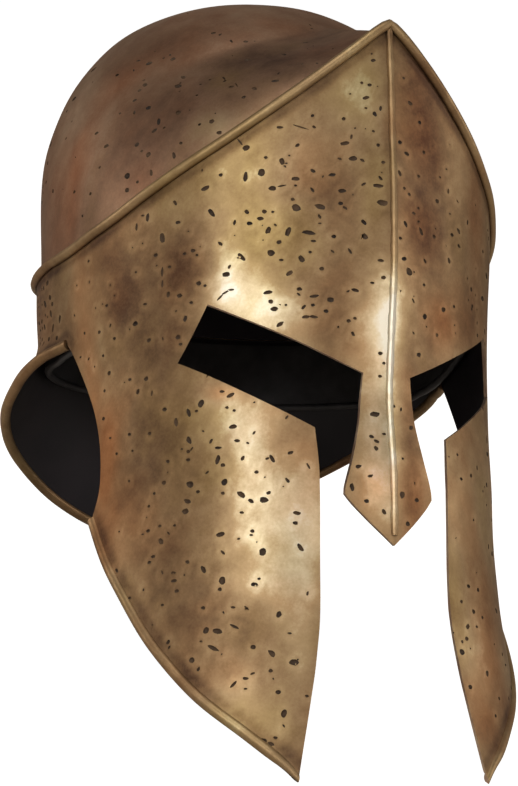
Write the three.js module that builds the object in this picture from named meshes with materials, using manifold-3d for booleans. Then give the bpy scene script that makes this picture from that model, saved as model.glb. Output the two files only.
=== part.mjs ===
// A Corinthian helmet, standing by itself on its two cheek tips and the rim of its neck guard.
// It is worked out as it is worn, in millimetres: +Z up, -Y to the front, the ear notches meeting at Z = 0.
// The last step leans the whole group back until the three points that touch the ground are level.
import * as THREE from "three";
import * as BufferGeometryUtils from "three/addons/utils/BufferGeometryUtils.js";
import Module from "manifold-3d";

const wasm = await Module();
wasm.setup();

const DEG = Math.PI / 180;
const FRONT = 0;
const SIDE = 90;
const BACK = 180;

// ---------------------------------------------------------------- sizes

const sheet = { thick: 1.5, gap: 0.35 };
const plan = { midY: 24, backDepth: 92 };
const rib = { radius: 2.1, proud: 0.6, sides: 6 };
const rim = { radius: 2.3, sides: 6, tipStart: 0.86, tipScale: 0.5 };
const ridge = { radius: 1.45, sides: 5, topZ: 127, stepZ: 9, footGap: 3 };
const notchTurn = 87;
const crown = {
  half: 93, front: 96.5, back: 92.5, centreY: 31, shoulderZ: 61, topZ: 163.8, power: 2.38,
  lap: 6, blend: 0.36, rows: 9, lastClimb: 0.985, peakDrop: 10, dropTurn: 36,
  inwardZ: 30, inwardThick: 1.725, mouthDrop: 3,
};
const liner = {
  thick: 2, clear: 2.0, topZ: 27, lowZ: -3, frontLowZ: 16, riseFrom: -0.1, riseTo: 0.5,
  pipe: 1.7, pipeRadius: 1.6, pipeSides: 6,
};
const columns = 68;
const linerColumns = 36;
const wallRows = 12;
const cheekRimSteps = 16;
const neckRimTurns = { from: 86, to: 274, step: 4 };
const footDepth = 0.6;
const mostLean = -60 * DEG;
const groundSize = { span: 600, deep: 100 };

// How far the cutting outlines reach past the helmet.
const cut = { lowZ: -260, side: 150, frontNear: 20, frontFar: 200 };
// The short steps and tolerances of the arithmetic.
const probe = { turn: 0.5, z: 0.5, seam: 0.01, weld: 1e-4, halvings: 40 };

// The wall in plan, at a few heights. The front half is a squared ellipse struck from beyond the midline,
// so it comes to a keel: half is the half width, keel how far beyond, front how far the keel stands forward.
const wallSections = [
  { z: -185, half: 97.0, square: 3.00, keel: 34, front: 118.5 },
  { z: -135, half: 98.0, square: 2.80, keel: 36, front: 108.5 },
  { z: -100, half: 95.5, square: 2.65, keel: 38, front: 104.0 },
  { z: -60, half: 91.5, square: 2.60, keel: 30, front: 102.0 },
  { z: -20, half: 91.5, square: 2.70, keel: 50, front: 97.5 },
  { z: 25, half: 94.5, square: 2.50, keel: 62, front: 99.5 },
  { z: 60, half: 95.5, square: 2.50, keel: 58, front: 98.3 },
  { z: 95, half: 90.0, square: 2.80, keel: 47, front: 95.3 },
  { z: 131, half: 87.0, square: 3.30, keel: 32, front: 91.7 },
];

// The height of the raised rib, from the peak over the brow round to the back of the head.
const ribCourse = [
  { turn: 0, z: 129.0 },
  { turn: 8, z: 115.0 },
  { turn: 24, z: 93.0 },
  { turn: 40, z: 74.0 },
  { turn: 56, z: 58.5 },
  { turn: 72, z: 46.5 },
  { turn: 90, z: 39.0 },
  { turn: 110, z: 36.5 },
  { turn: 180, z: 36.0 },
];

// The rim of the neck guard, from the ear notch to the back: its height, and how far it flares from the wall.
const neckCourse = [
  { turn: 60, z: 3.0, flare: 0.0 },
  { turn: 84, z: 2.0, flare: 0.0 },
  { turn: 91, z: -1.7, flare: 5.5 },
  { turn: 108, z: -12.0, flare: 11.5 },
  { turn: 125, z: -24.5, flare: 18.0 },
  { turn: 140, z: -37.5, flare: 20.8 },
  { turn: 154, z: -52.3, flare: 18.2 },
  { turn: 168, z: -62.8, flare: 13.8 },
  { turn: 180, z: -66.3, flare: 12.0 },
];
const neckFlare = { startZ: 9, power: 1.7, most: 1.1 };

// The side view: the top of the ear notch, from behind it forwards.
const notchTop = [
  { y: 32, z: -12 },
  { y: 24, z: -4.5 },
  { y: 17, z: -1.2 },
];
// The side view: the rear edge of the cheek plate below the ear notch, and then past the cheek tip.
const earEdge = [
  { y: 10, z: 2 },
  { y: 4, z: -5 },
  { y: -6, z: -17.5 },
  { y: -13.5, z: -28.5 },
  { y: -18, z: -39.5 },
  { y: -20, z: -51 },
  { y: -19.5, z: -63 },
  { y: -16, z: -74 },
];
const cheekEdge = [
  { y: -16, z: -74 },
  { y: -31, z: -92.5 },
  { y: -47, z: -110.3 },
  { y: -57, z: -121.2 },
  { y: -66, z: -130.3 },
  { y: -79, z: -143.3 },
  { y: -93, z: -155.8 },
  { y: -102.6, z: -166.5 },
  { y: -107, z: -173.6 },
  { y: -109.5, z: -178.5 },
];

// The front view of one side: the nasal, the eye slot and the front edge of the cheek plate.
const faceOpening = [
  { x: 0, z: -84 },
  { x: 10.5, z: -74.5 },
  { x: 18.2, z: -66.5 },
  { x: 19.4, z: -62.5 },
  { x: 16, z: -49.5 },
  { x: 12.9, z: -35.5 },
  { x: 11.6, z: -24 },
  { x: 10.8, z: -16.4 },
  { x: 23, z: -11 },
  { x: 37.5, z: -4.2 },
  { x: 55, z: 4.2 },
  { x: 64.9, z: 9.6 },
  { x: 73, z: -13.6 },
  { x: 61, z: -21.2 },
  { x: 46, z: -30.2 },
  { x: 30, z: -39.1 },
  { x: 29, z: -60 },
  { x: 29.2, z: -105 },
  { x: 31.8, z: -127.5 },
  { x: 35.5, z: -145.5 },
  { x: 42.2, z: -174.5 },
];

// ---------------------------------------------------------------- reading the tables

// A smooth monotone curve through one column of a table.
function course(table, key, value) {
  const xs = table.map((row) => row[key]);
  const ys = table.map((row) => row[value]);
  const last = xs.length - 1;
  const slopes = xs.slice(1).map((x, i) => (ys[i + 1] - ys[i]) / (x - xs[i]));
  const tangents = xs.map((x, i) => {
    if (i === 0 || i === last) {
      return slopes[Math.min(i, last - 1)];
    }
    const product = slopes[i - 1] * slopes[i];
    return product > 0 ? (2 * product) / (slopes[i - 1] + slopes[i]) : 0;
  });
  return (x) => {
    const at = Math.min(Math.max(x, xs[0]), xs[last]);
    const i = Math.min(Math.max(xs.findIndex((knot) => knot > at) - 1, 0), last - 1);
    const from = at >= xs[last] ? last - 1 : i;
    const step = xs[from + 1] - xs[from];
    const t = (at - xs[from]) / step;
    const back = (1 + 2 * t) * (1 - t) ** 2 * ys[from] + t * (1 - t) ** 2 * step * tangents[from];
    return back + t * t * (3 - 2 * t) * ys[from + 1] + t * t * (t - 1) * step * tangents[from + 1];
  };
}

const wallAt = {
  half: course(wallSections, "z", "half"),
  square: course(wallSections, "z", "square"),
  keel: course(wallSections, "z", "keel"),
  front: course(wallSections, "z", "front"),
};
const ribHeight = course(ribCourse, "turn", "z");
const neckHeight = course(neckCourse, "turn", "z");
const neckReach = course(neckCourse, "turn", "flare");

// ---------------------------------------------------------------- surfaces

// How far the neck guard stands out from the wall at this place.
function flareAt(turn, z) {
  const low = neckHeight(turn);
  const share = Math.max(neckFlare.startZ - z, 0) / (neckFlare.startZ - low);
  return neckReach(turn) * Math.min(share, neckFlare.most) ** neckFlare.power;
}

// A point of the wall's outer face. turn runs from 0 at the front to 180 at the back, negative on the left.
function wallPoint(turn, z) {
  const away = Math.abs(turn);
  const half = wallAt.half(z);
  let x;
  let y;
  if (away <= SIDE) {
    const power = 2 / wallAt.square(z);
    const keel = wallAt.keel(z);
    const start = Math.asin((keel / (half + keel)) ** (1 / power));
    const angle = start + (Math.PI / 2 - start) * (away / SIDE);
    const depth = (wallAt.front(z) + plan.midY) / Math.cos(start) ** power;
    x = (half + keel) * Math.sin(angle) ** power - keel;
    y = plan.midY - depth * Math.max(Math.cos(angle), 0) ** power;
  } else {
    x = half * Math.sin(away * DEG);
    y = plan.midY - plan.backDepth * Math.cos(away * DEG);
  }
  const radius = Math.hypot(x, y - plan.midY);
  const grow = 1 + flareAt(away, z) / radius;
  const side = turn < 0 ? -1 : 1;
  return new THREE.Vector3(side * x * grow, plan.midY + (y - plan.midY) * grow, z);
}

// The outward normal of the wall. It is worked out on one side and mirrored to the other.
function wallNormal(turn, z) {
  const away = Math.max(Math.abs(turn), probe.seam);
  const along = wallPoint(away + probe.turn, z).sub(wallPoint(away - probe.turn, z));
  const up = wallPoint(away, z + probe.z).sub(wallPoint(away, z - probe.z));
  const normal = along.cross(up).normalize();
  if (Math.abs(turn) < probe.seam || Math.abs(turn) > BACK - probe.seam) {
    normal.x = 0;
    normal.normalize();
  }
  if (turn < 0) {
    normal.x *= -1;
  }
  return normal;
}

// A point at some depth below the wall's outer face.
function insideWall(turn, z, depth) {
  return wallPoint(turn, z).addScaledVector(wallNormal(turn, z), -depth);
}

function turnsAround(count) {
  return Array.from({ length: count }, (_, i) => -BACK + (360 * i) / count);
}

const turns = turnsAround(columns);

// ---------------------------------------------------------------- meshes and solids

// A closed band: rings of points, each ring closed on itself, and the last ring joined to the first.
function bandGeometry(rings) {
  return gridGeometry(rings, true);
}

function gridGeometry(rings, closeRows) {
  const count = rings[0].length;
  const positions = rings.flat().flatMap((point) => [point.x, point.y, point.z]);
  const index = [];
  const rows = closeRows ? rings.length : rings.length - 1;
  for (let row = 0; row < rows; row += 1) {
    const next = (row + 1) % rings.length;
    for (let i = 0; i < count; i += 1) {
      const j = (i + 1) % count;
      const [a, b, c, d] = [row * count + i, row * count + j, next * count + j, next * count + i];
      index.push(a, b, c, a, c, d);
    }
  }
  if (!closeRows) {
    for (const [ring, flip] of [[0, true], [rings.length - 1, false]]) {
      for (let i = 1; i < count - 1; i += 1) {
        const [a, b, c] = [ring * count, ring * count + i, ring * count + i + 1];
        index.push(a, flip ? c : b, flip ? b : c);
      }
    }
  }
  const geometry = new THREE.BufferGeometry();
  geometry.setAttribute("position", new THREE.Float32BufferAttribute(positions, 3));
  geometry.setIndex(index);
  return geometry;
}

function solidOf(geometry) {
  const bare = geometry.clone();
  bare.deleteAttribute("normal");
  bare.deleteAttribute("uv");
  const merged = BufferGeometryUtils.mergeVertices(bare, probe.weld);
  const triVerts = Uint32Array.from(merged.index.array);
  const vertProperties = Float32Array.from(merged.attributes.position.array);
  return new wasm.Manifold(new wasm.Mesh({ numProp: 3, vertProperties, triVerts }));
}

function geometryOf(solid) {
  const mesh = solid.getMesh();
  const geometry = new THREE.BufferGeometry();
  geometry.setAttribute("position", new THREE.Float32BufferAttribute(Array.from(mesh.vertProperties), 3));
  geometry.setIndex(Array.from(mesh.triVerts));
  return geometry;
}

// A round bar along a run of points. Each ring stands square to the run.
function barSolid(points, radiusAt, sides, closed) {
  const count = points.length;
  const rings = points.map((point, i) => {
    const before = closed ? points[(i + count - 1) % count] : points[Math.max(i - 1, 0)];
    const after = closed ? points[(i + 1) % count] : points[Math.min(i + 1, count - 1)];
    const along = after.clone().sub(before).normalize();
    const out = new THREE.Vector3(point.x, point.y - plan.midY, 0).cross(along).normalize();
    const across = along.clone().cross(out);
    return Array.from({ length: sides }, (_, k) => {
      const angle = (2 * Math.PI * k) / sides;
      const ring = out.clone().multiplyScalar(Math.cos(angle)).addScaledVector(across, Math.sin(angle));
      return point.clone().addScaledVector(ring, radiusAt(i / (count - 1)));
    });
  });
  return solidOf(gridGeometry(rings, closed));
}

// A flat outline pushed along one axis. place maps the outline's two numbers and the depth to a point.
function prismSolid(outline, from, to, place) {
  const shape = new THREE.Shape(outline.map(([u, v]) => new THREE.Vector2(u, v)));
  const geometry = new THREE.ExtrudeGeometry(shape, { depth: to - from, bevelEnabled: false });
  geometry.translate(0, 0, from);
  const position = geometry.attributes.position;
  for (let i = 0; i < position.count; i += 1) {
    position.setXYZ(i, ...place(position.getX(i), position.getY(i), position.getZ(i)));
  }
  return solidOf(geometry);
}

const alongX = (u, v, depth) => [depth, u, v];
const alongY = (u, v, depth) => [u, -depth, v];

// ---------------------------------------------------------------- face and neck shell

// The lowest height of the band before it is cut: past the cheek tips in front, on the neck rim behind.
function bandFoot(turn) {
  const away = Math.abs(turn);
  return away < notchTurn ? wallSections[0].z : neckHeight(away);
}

function wallBand() {
  const rows = Array.from({ length: wallRows }, (_, row) => row / (wallRows - 1));
  const heightAt = (turn, share) => bandFoot(turn) + (ribHeight(Math.abs(turn)) - bandFoot(turn)) * share;
  const outer = rows.map((share) => turns.map((turn) => wallPoint(turn, heightAt(turn, share))));
  const inner = rows.map((share) =>
    turns.map((turn) => insideWall(turn, heightAt(turn, share), sheet.thick)));
  return solidOf(bandGeometry([...outer, ...inner.reverse()]));
}

// The side outline that is cut away: the ear notches, and all that is behind the cheek plates.
function sideCut() {
  const rows = [...notchTop, ...earEdge, ...cheekEdge.slice(1)];
  const outline = rows.map((row) => [row.y, row.z]);
  const floor = [[cheekEdge.at(-1).y, cut.lowZ], [notchTop[0].y, cut.lowZ]];
  return prismSolid([...outline, ...floor], -cut.side, cut.side, alongX);
}

// The front outline that is cut away: both eye slots and the gap between the cheek plates.
function faceCut() {
  const right = faceOpening.map((row) => [row.x, row.z]);
  const left = faceOpening.slice(1).map((row) => [-row.x, row.z]).reverse();
  const floor = [[faceOpening.at(-1).x, cut.lowZ], [-faceOpening.at(-1).x, cut.lowZ]];
  return prismSolid([...right, ...floor, ...left], cut.frontNear, cut.frontFar, alongY);
}

// The place on the wall's outer face that shows at one point of the side view.
function wallAtSide(y, z, side) {
  let low = 0;
  let high = BACK;
  for (let i = 0; i < probe.halvings; i += 1) {
    const mid = (low + high) / 2;
    if (wallPoint(mid, z).y < y) {
      low = mid;
    } else {
      high = mid;
    }
  }
  return wallPoint(side * low, z);
}

function spaced(rows, count) {
  const points = rows.map((row) => new THREE.Vector3(0, row.y, row.z));
  return new THREE.CatmullRomCurve3(points, false, "centripetal").getSpacedPoints(count);
}

function ribSolid() {
  const points = turns.map((turn) => {
    const z = ribHeight(Math.abs(turn));
    return insideWall(turn, z - rib.radius / 2, -rib.proud);
  });
  return barSolid(points, () => rib.radius, rib.sides, true);
}

function neckRimSolid() {
  const points = [];
  for (let turn = neckRimTurns.from; turn <= neckRimTurns.to; turn += neckRimTurns.step) {
    const signed = turn > BACK ? turn - 2 * BACK : turn;
    points.push(insideWall(signed, neckHeight(Math.abs(signed)), sheet.thick / 2));
  }
  return barSolid(points, () => rim.radius, rim.sides, false);
}

// The rim of one cheek plate. It narrows to the tip.
function cheekRimSolid(side) {
  const points = spaced(cheekEdge, cheekRimSteps).map((point) => wallAtSide(point.y, point.z, side));
  const radiusAt = (share) => {
    const narrowed = THREE.MathUtils.smoothstep(share, rim.tipStart, 1);
    return rim.radius * (1 - (1 - rim.tipScale) * narrowed);
  };
  return barSolid(points, radiusAt, rim.sides, false);
}

function ridgeSolid() {
  const points = [];
  for (let z = ridge.topZ; z >= faceOpening[0].z + ridge.footGap; z -= ridge.stepZ) {
    points.push(wallPoint(FRONT, z));
  }
  const rings = points.map((point) => Array.from({ length: ridge.sides }, (_, k) => {
    const angle = (2 * Math.PI * k) / ridge.sides;
    return new THREE.Vector3(ridge.radius * Math.sin(angle), point.y + ridge.radius * Math.cos(angle), point.z);
  }));
  return solidOf(gridGeometry(rings, false));
}

function shellSolid() {
  let shell = wallBand().subtract(sideCut()).subtract(faceCut());
  for (const side of [-1, 1]) {
    shell = shell.add(cheekRimSolid(side).subtract(faceCut()));
  }
  return shell.add(ribSolid()).add(ridgeSolid()).add(neckRimSolid());
}

// ---------------------------------------------------------------- crown

// A point of the crown's seat, just inside the wall, raised or lowered from the rib.
// Over the brow the seat drops, so that the peak stands free in front of the crown.
function crownSeat(turn, lift) {
  const away = Math.abs(turn);
  const depth = sheet.thick + sheet.gap;
  const drop = crown.peakDrop * THREE.MathUtils.smoothstep(crown.dropTurn - away, 0, crown.dropTurn);
  const z = ribHeight(away) - drop + lift;
  return insideWall(turn, Math.min(z, ribHeight(away)), depth).setZ(z);
}

// The crown's outer face above its seat, from 0 at the seat to 1 at the top.
// A shoulder leads back from the rib to a squared dome.
function crownPoint(turn, climb) {
  const foot = crownSeat(turn, rib.radius / 2);
  const z = foot.z + (crown.topZ - foot.z) * Math.sin(climb * Math.PI / 2);
  const rise = Math.max((z - crown.shoulderZ) / (crown.topZ - crown.shoulderZ), 0);
  const reach = Math.max(1 - rise ** crown.power, 0) ** (1 / crown.power);
  const depth = Math.abs(turn) < SIDE ? crown.front : crown.back;
  const domeX = crown.half * Math.sin(turn * DEG) * reach;
  const domeY = crown.centreY - depth * Math.cos(turn * DEG) * reach;
  const share = THREE.MathUtils.smoothstep(climb, 0, crown.blend);
  return new THREE.Vector3(foot.x + (domeX - foot.x) * share, foot.y + (domeY - foot.y) * share, z);
}

function crownSolid() {
  const climbs = Array.from({ length: crown.rows }, (_, row) => (crown.lastClimb * row) / (crown.rows - 1));
  const lap = turns.map((turn) => crownSeat(turn, -crown.lap));
  const outer = [lap, ...climbs.map((climb) => turns.map((turn) => crownPoint(turn, climb)))];
  const centre = new THREE.Vector3(0, crown.centreY, crown.inwardZ);
  const inner = outer.map((ring) => ring.map((point) => {
    const inward = centre.clone().sub(point).normalize();
    return point.clone().addScaledVector(inward, crown.inwardThick);
  }));
  const below = inner[0].map((point) => point.clone().setZ(point.z - crown.mouthDrop));
  return solidOf(gridGeometry(outer, false)).subtract(solidOf(gridGeometry([below, ...inner], false)));
}

// ---------------------------------------------------------------- liner

function linerFoot(turn) {
  const ahead = THREE.MathUtils.smoothstep(Math.cos(turn * DEG), liner.riseFrom, liner.riseTo);
  return liner.lowZ + (liner.frontLowZ - liner.lowZ) * ahead;
}

function linerPoint(turn, z, depth) {
  return insideWall(turn, Math.max(z, neckFlare.startZ), sheet.thick + depth).setZ(z);
}

function linerSolid() {
  const around = turnsAround(linerColumns);
  const edges = [linerFoot, () => liner.topZ];
  const face = (depth) => edges.map((edge) => around.map((turn) => linerPoint(turn, edge(turn), depth)));
  const band = bandGeometry([...face(liner.clear), ...face(liner.clear + liner.thick).reverse()]);
  const piping = around.map((turn) => linerPoint(turn, linerFoot(turn), liner.clear + liner.pipe));
  return solidOf(band).add(barSolid(piping, () => liner.pipeRadius, liner.pipeSides, true));
}

// ---------------------------------------------------------------- materials and assembly

const materials = {
  aged_brass: new THREE.MeshStandardMaterial({ color: 0xa58c5f, roughness: 0.38, metalness: 0.9 }),
  aged_brass_dark: new THREE.MeshStandardMaterial({ color: 0x8a7058, roughness: 0.42, metalness: 0.9 }),
  black_leather: new THREE.MeshStandardMaterial({ color: 0x17151a, roughness: 0.6, metalness: 0 }),
};

const worn = {
  face_and_neck_shell: { solid: shellSolid(), material: materials.aged_brass },
  crown_bowl: { solid: crownSolid(), material: materials.aged_brass_dark },
  liner_band: { solid: linerSolid(), material: materials.black_leather },
};

function lowest(positions, lean, wanted) {
  const turned = new THREE.Vector3();
  let low = Infinity;
  for (let i = 0; i < positions.count; i += 1) {
    turned.fromBufferAttribute(positions, i);
    if (wanted(turned)) {
      low = Math.min(low, turned.applyAxisAngle(new THREE.Vector3(1, 0, 0), lean).z);
    }
  }
  return low;
}

// The lean that brings the cheek tips and the neck rim down to one level.
function restLean(geometry) {
  const positions = geometry.attributes.position;
  let low = mostLean;
  let high = 0;
  for (let i = 0; i < probe.halvings; i += 1) {
    const lean = (low + high) / 2;
    const front = lowest(positions, lean, (point) => point.y < 0);
    const rear = lowest(positions, lean, (point) => point.y > 0);
    if (front > rear) {
      low = lean;
    } else {
      high = lean;
    }
  }
  return (low + high) / 2;
}

// Turns a worn solid into the standing frame and cuts its feet flat.
function standing(solid, matrix) {
  const geometry = geometryOf(solid).applyMatrix4(matrix);
  const ground = new THREE.BoxGeometry(groundSize.span, groundSize.span, groundSize.deep);
  ground.translate(0, 0, -groundSize.deep / 2);
  return solidOf(geometry).subtract(solidOf(ground));
}

const wornShell = geometryOf(worn.face_and_neck_shell.solid);
const lean = restLean(wornShell);
const matrix = new THREE.Matrix4().makeRotationX(lean);
const leaned = Object.values(worn).map((piece) => geometryOf(piece.solid).applyMatrix4(matrix));
const box = new THREE.Box3();
for (const geometry of leaned) {
  geometry.computeBoundingBox();
  box.union(geometry.boundingBox);
}
const centre = box.getCenter(new THREE.Vector3());
matrix.premultiply(new THREE.Matrix4().makeTranslation(-centre.x, -centre.y, -box.min.z - footDepth));

const helmet = new THREE.Group();
for (const [name, piece] of Object.entries(worn)) {
  const mesh = new THREE.Mesh(geometryOf(standing(piece.solid, matrix)), piece.material);
  mesh.name = name;
  helmet.add(mesh);
}

export default helmet;
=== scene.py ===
import math
import random

import bmesh
import bpy
import numpy as np
from mathutils import Matrix, Vector
from mathutils.kdtree import KDTree


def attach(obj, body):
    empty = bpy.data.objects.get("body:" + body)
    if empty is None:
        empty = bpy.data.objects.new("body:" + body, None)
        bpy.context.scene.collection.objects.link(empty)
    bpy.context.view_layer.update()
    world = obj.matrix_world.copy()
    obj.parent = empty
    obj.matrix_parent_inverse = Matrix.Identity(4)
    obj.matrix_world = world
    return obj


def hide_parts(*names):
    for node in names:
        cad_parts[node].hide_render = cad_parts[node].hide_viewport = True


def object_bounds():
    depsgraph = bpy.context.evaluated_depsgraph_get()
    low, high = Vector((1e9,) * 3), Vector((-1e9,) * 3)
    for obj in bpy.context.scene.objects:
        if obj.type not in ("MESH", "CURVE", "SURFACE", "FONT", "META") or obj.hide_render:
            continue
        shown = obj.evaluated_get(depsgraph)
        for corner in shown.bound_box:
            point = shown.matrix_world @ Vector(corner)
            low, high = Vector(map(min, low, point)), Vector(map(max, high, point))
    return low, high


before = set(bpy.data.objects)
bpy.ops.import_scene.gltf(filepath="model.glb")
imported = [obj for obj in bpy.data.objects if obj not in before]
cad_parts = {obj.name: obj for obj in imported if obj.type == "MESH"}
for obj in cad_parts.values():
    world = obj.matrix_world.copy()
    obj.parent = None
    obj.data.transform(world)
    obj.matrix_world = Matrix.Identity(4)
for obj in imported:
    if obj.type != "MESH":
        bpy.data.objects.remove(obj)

cad_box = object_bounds()

# The helmet is worked out as it is worn, in millimetres: +Z up, -Y to the front, ear notches at Z = 0.
# stand() then leans it back to the way it stands on the ground, in metres, as the CAD does.
MM = 0.001
LEAN = math.radians(-24.5015)
SHIFT_Y = 9.670
SHIFT_Z = 114.376

SHEET = 1.5
MID_Y = 24.0
BACK_DEPTH = 92.0
RIB_RADIUS = 2.1
RIB_PROUD = 0.6
RIM_RADIUS = 2.3
TIP_START = 0.86
TIP_SCALE = 0.5
RIDGE_RADIUS = 1.45
NOTCH_TURN = 87.0
NOTCH_Z = 3.0
SEED = 11

# ---------------------------------------------------------------- the tables of the form, as in the CAD

# z, half width, squareness, keel, front
WALL = np.array([
    (-185, 97.0, 3.00, 34, 118.5),
    (-135, 98.0, 2.80, 36, 108.5),
    (-100, 95.5, 2.65, 38, 104.0),
    (-60, 91.5, 2.60, 30, 102.0),
    (-20, 91.5, 2.70, 50, 97.5),
    (25, 94.5, 2.50, 62, 99.5),
    (60, 95.5, 2.50, 58, 98.3),
    (95, 90.0, 2.80, 47, 95.3),
    (131, 87.0, 3.30, 32, 91.7),
])
# turn, z
RIB = np.array([
    (0, 129), (8, 115), (24, 93), (40, 74), (56, 58.5), (72, 46.5), (90, 39), (110, 36.5), (180, 36),
])
# turn, z, flare
NECK = np.array([
    (60, 3.0, 0.0),
    (84, 2.0, 0.0),
    (91, -1.7, 5.5),
    (108, -12.0, 11.5),
    (125, -24.5, 18.0),
    (140, -37.5, 20.8),
    (154, -52.3, 18.2),
    (168, -62.8, 13.8),
    (180, -66.3, 12.0),
])
FLARE_TOP = 9.0
FLARE_POWER = 1.7
# y, z in the side view
EAR_EDGE = [(10, 2), (4, -5), (-6, -17.5), (-13.5, -28.5), (-18, -39.5), (-20, -51), (-19.5, -63), (-16, -74)]
CHEEK_EDGE = [(-16, -74), (-31, -92.5), (-47, -110.3), (-57, -121.2), (-66, -130.3), (-79, -143.3),
              (-93, -155.8), (-102.6, -166.5), (-107, -173.6), (-109.5, -178.5)]
# x, z in the front view
NASAL = [(0, -84), (10.5, -74.5), (18.2, -66.5), (19.4, -62.5), (16, -49.5), (12.9, -35.5), (11.6, -24),
         (10.8, -16.4)]
EYE_TOP = [(10.8, -16.4), (23, -11), (37.5, -4.2), (55, 4.2), (64.9, 9.6)]
EYE_LOW = [(73, -13.6), (61, -21.2), (46, -30.2), (30, -39.1)]
CHEEK_FRONT = [(30, -39.1), (29, -60), (29.2, -105), (31.8, -127.5), (35.5, -145.5), (42.2, -174.5)]
CROWN = {"half": 93, "front": 96.5, "back": 92.5, "centre": 31, "shoulder": 61, "top": 163.8, "power": 2.38,
         "lap": 6, "blend": 0.36, "drop": 10, "drop_turn": 36, "gap": 0.35}
LINER = {"thick": 2.0, "clear": 2.0, "top": 27, "low": -3, "front_low": 16, "pipe": 1.7}


# ---------------------------------------------------------------- pits, charted
# Each is turn, z, long, wide, tilt: degrees round, then millimetres, then degrees up to the right
# where it isn't level.

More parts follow.
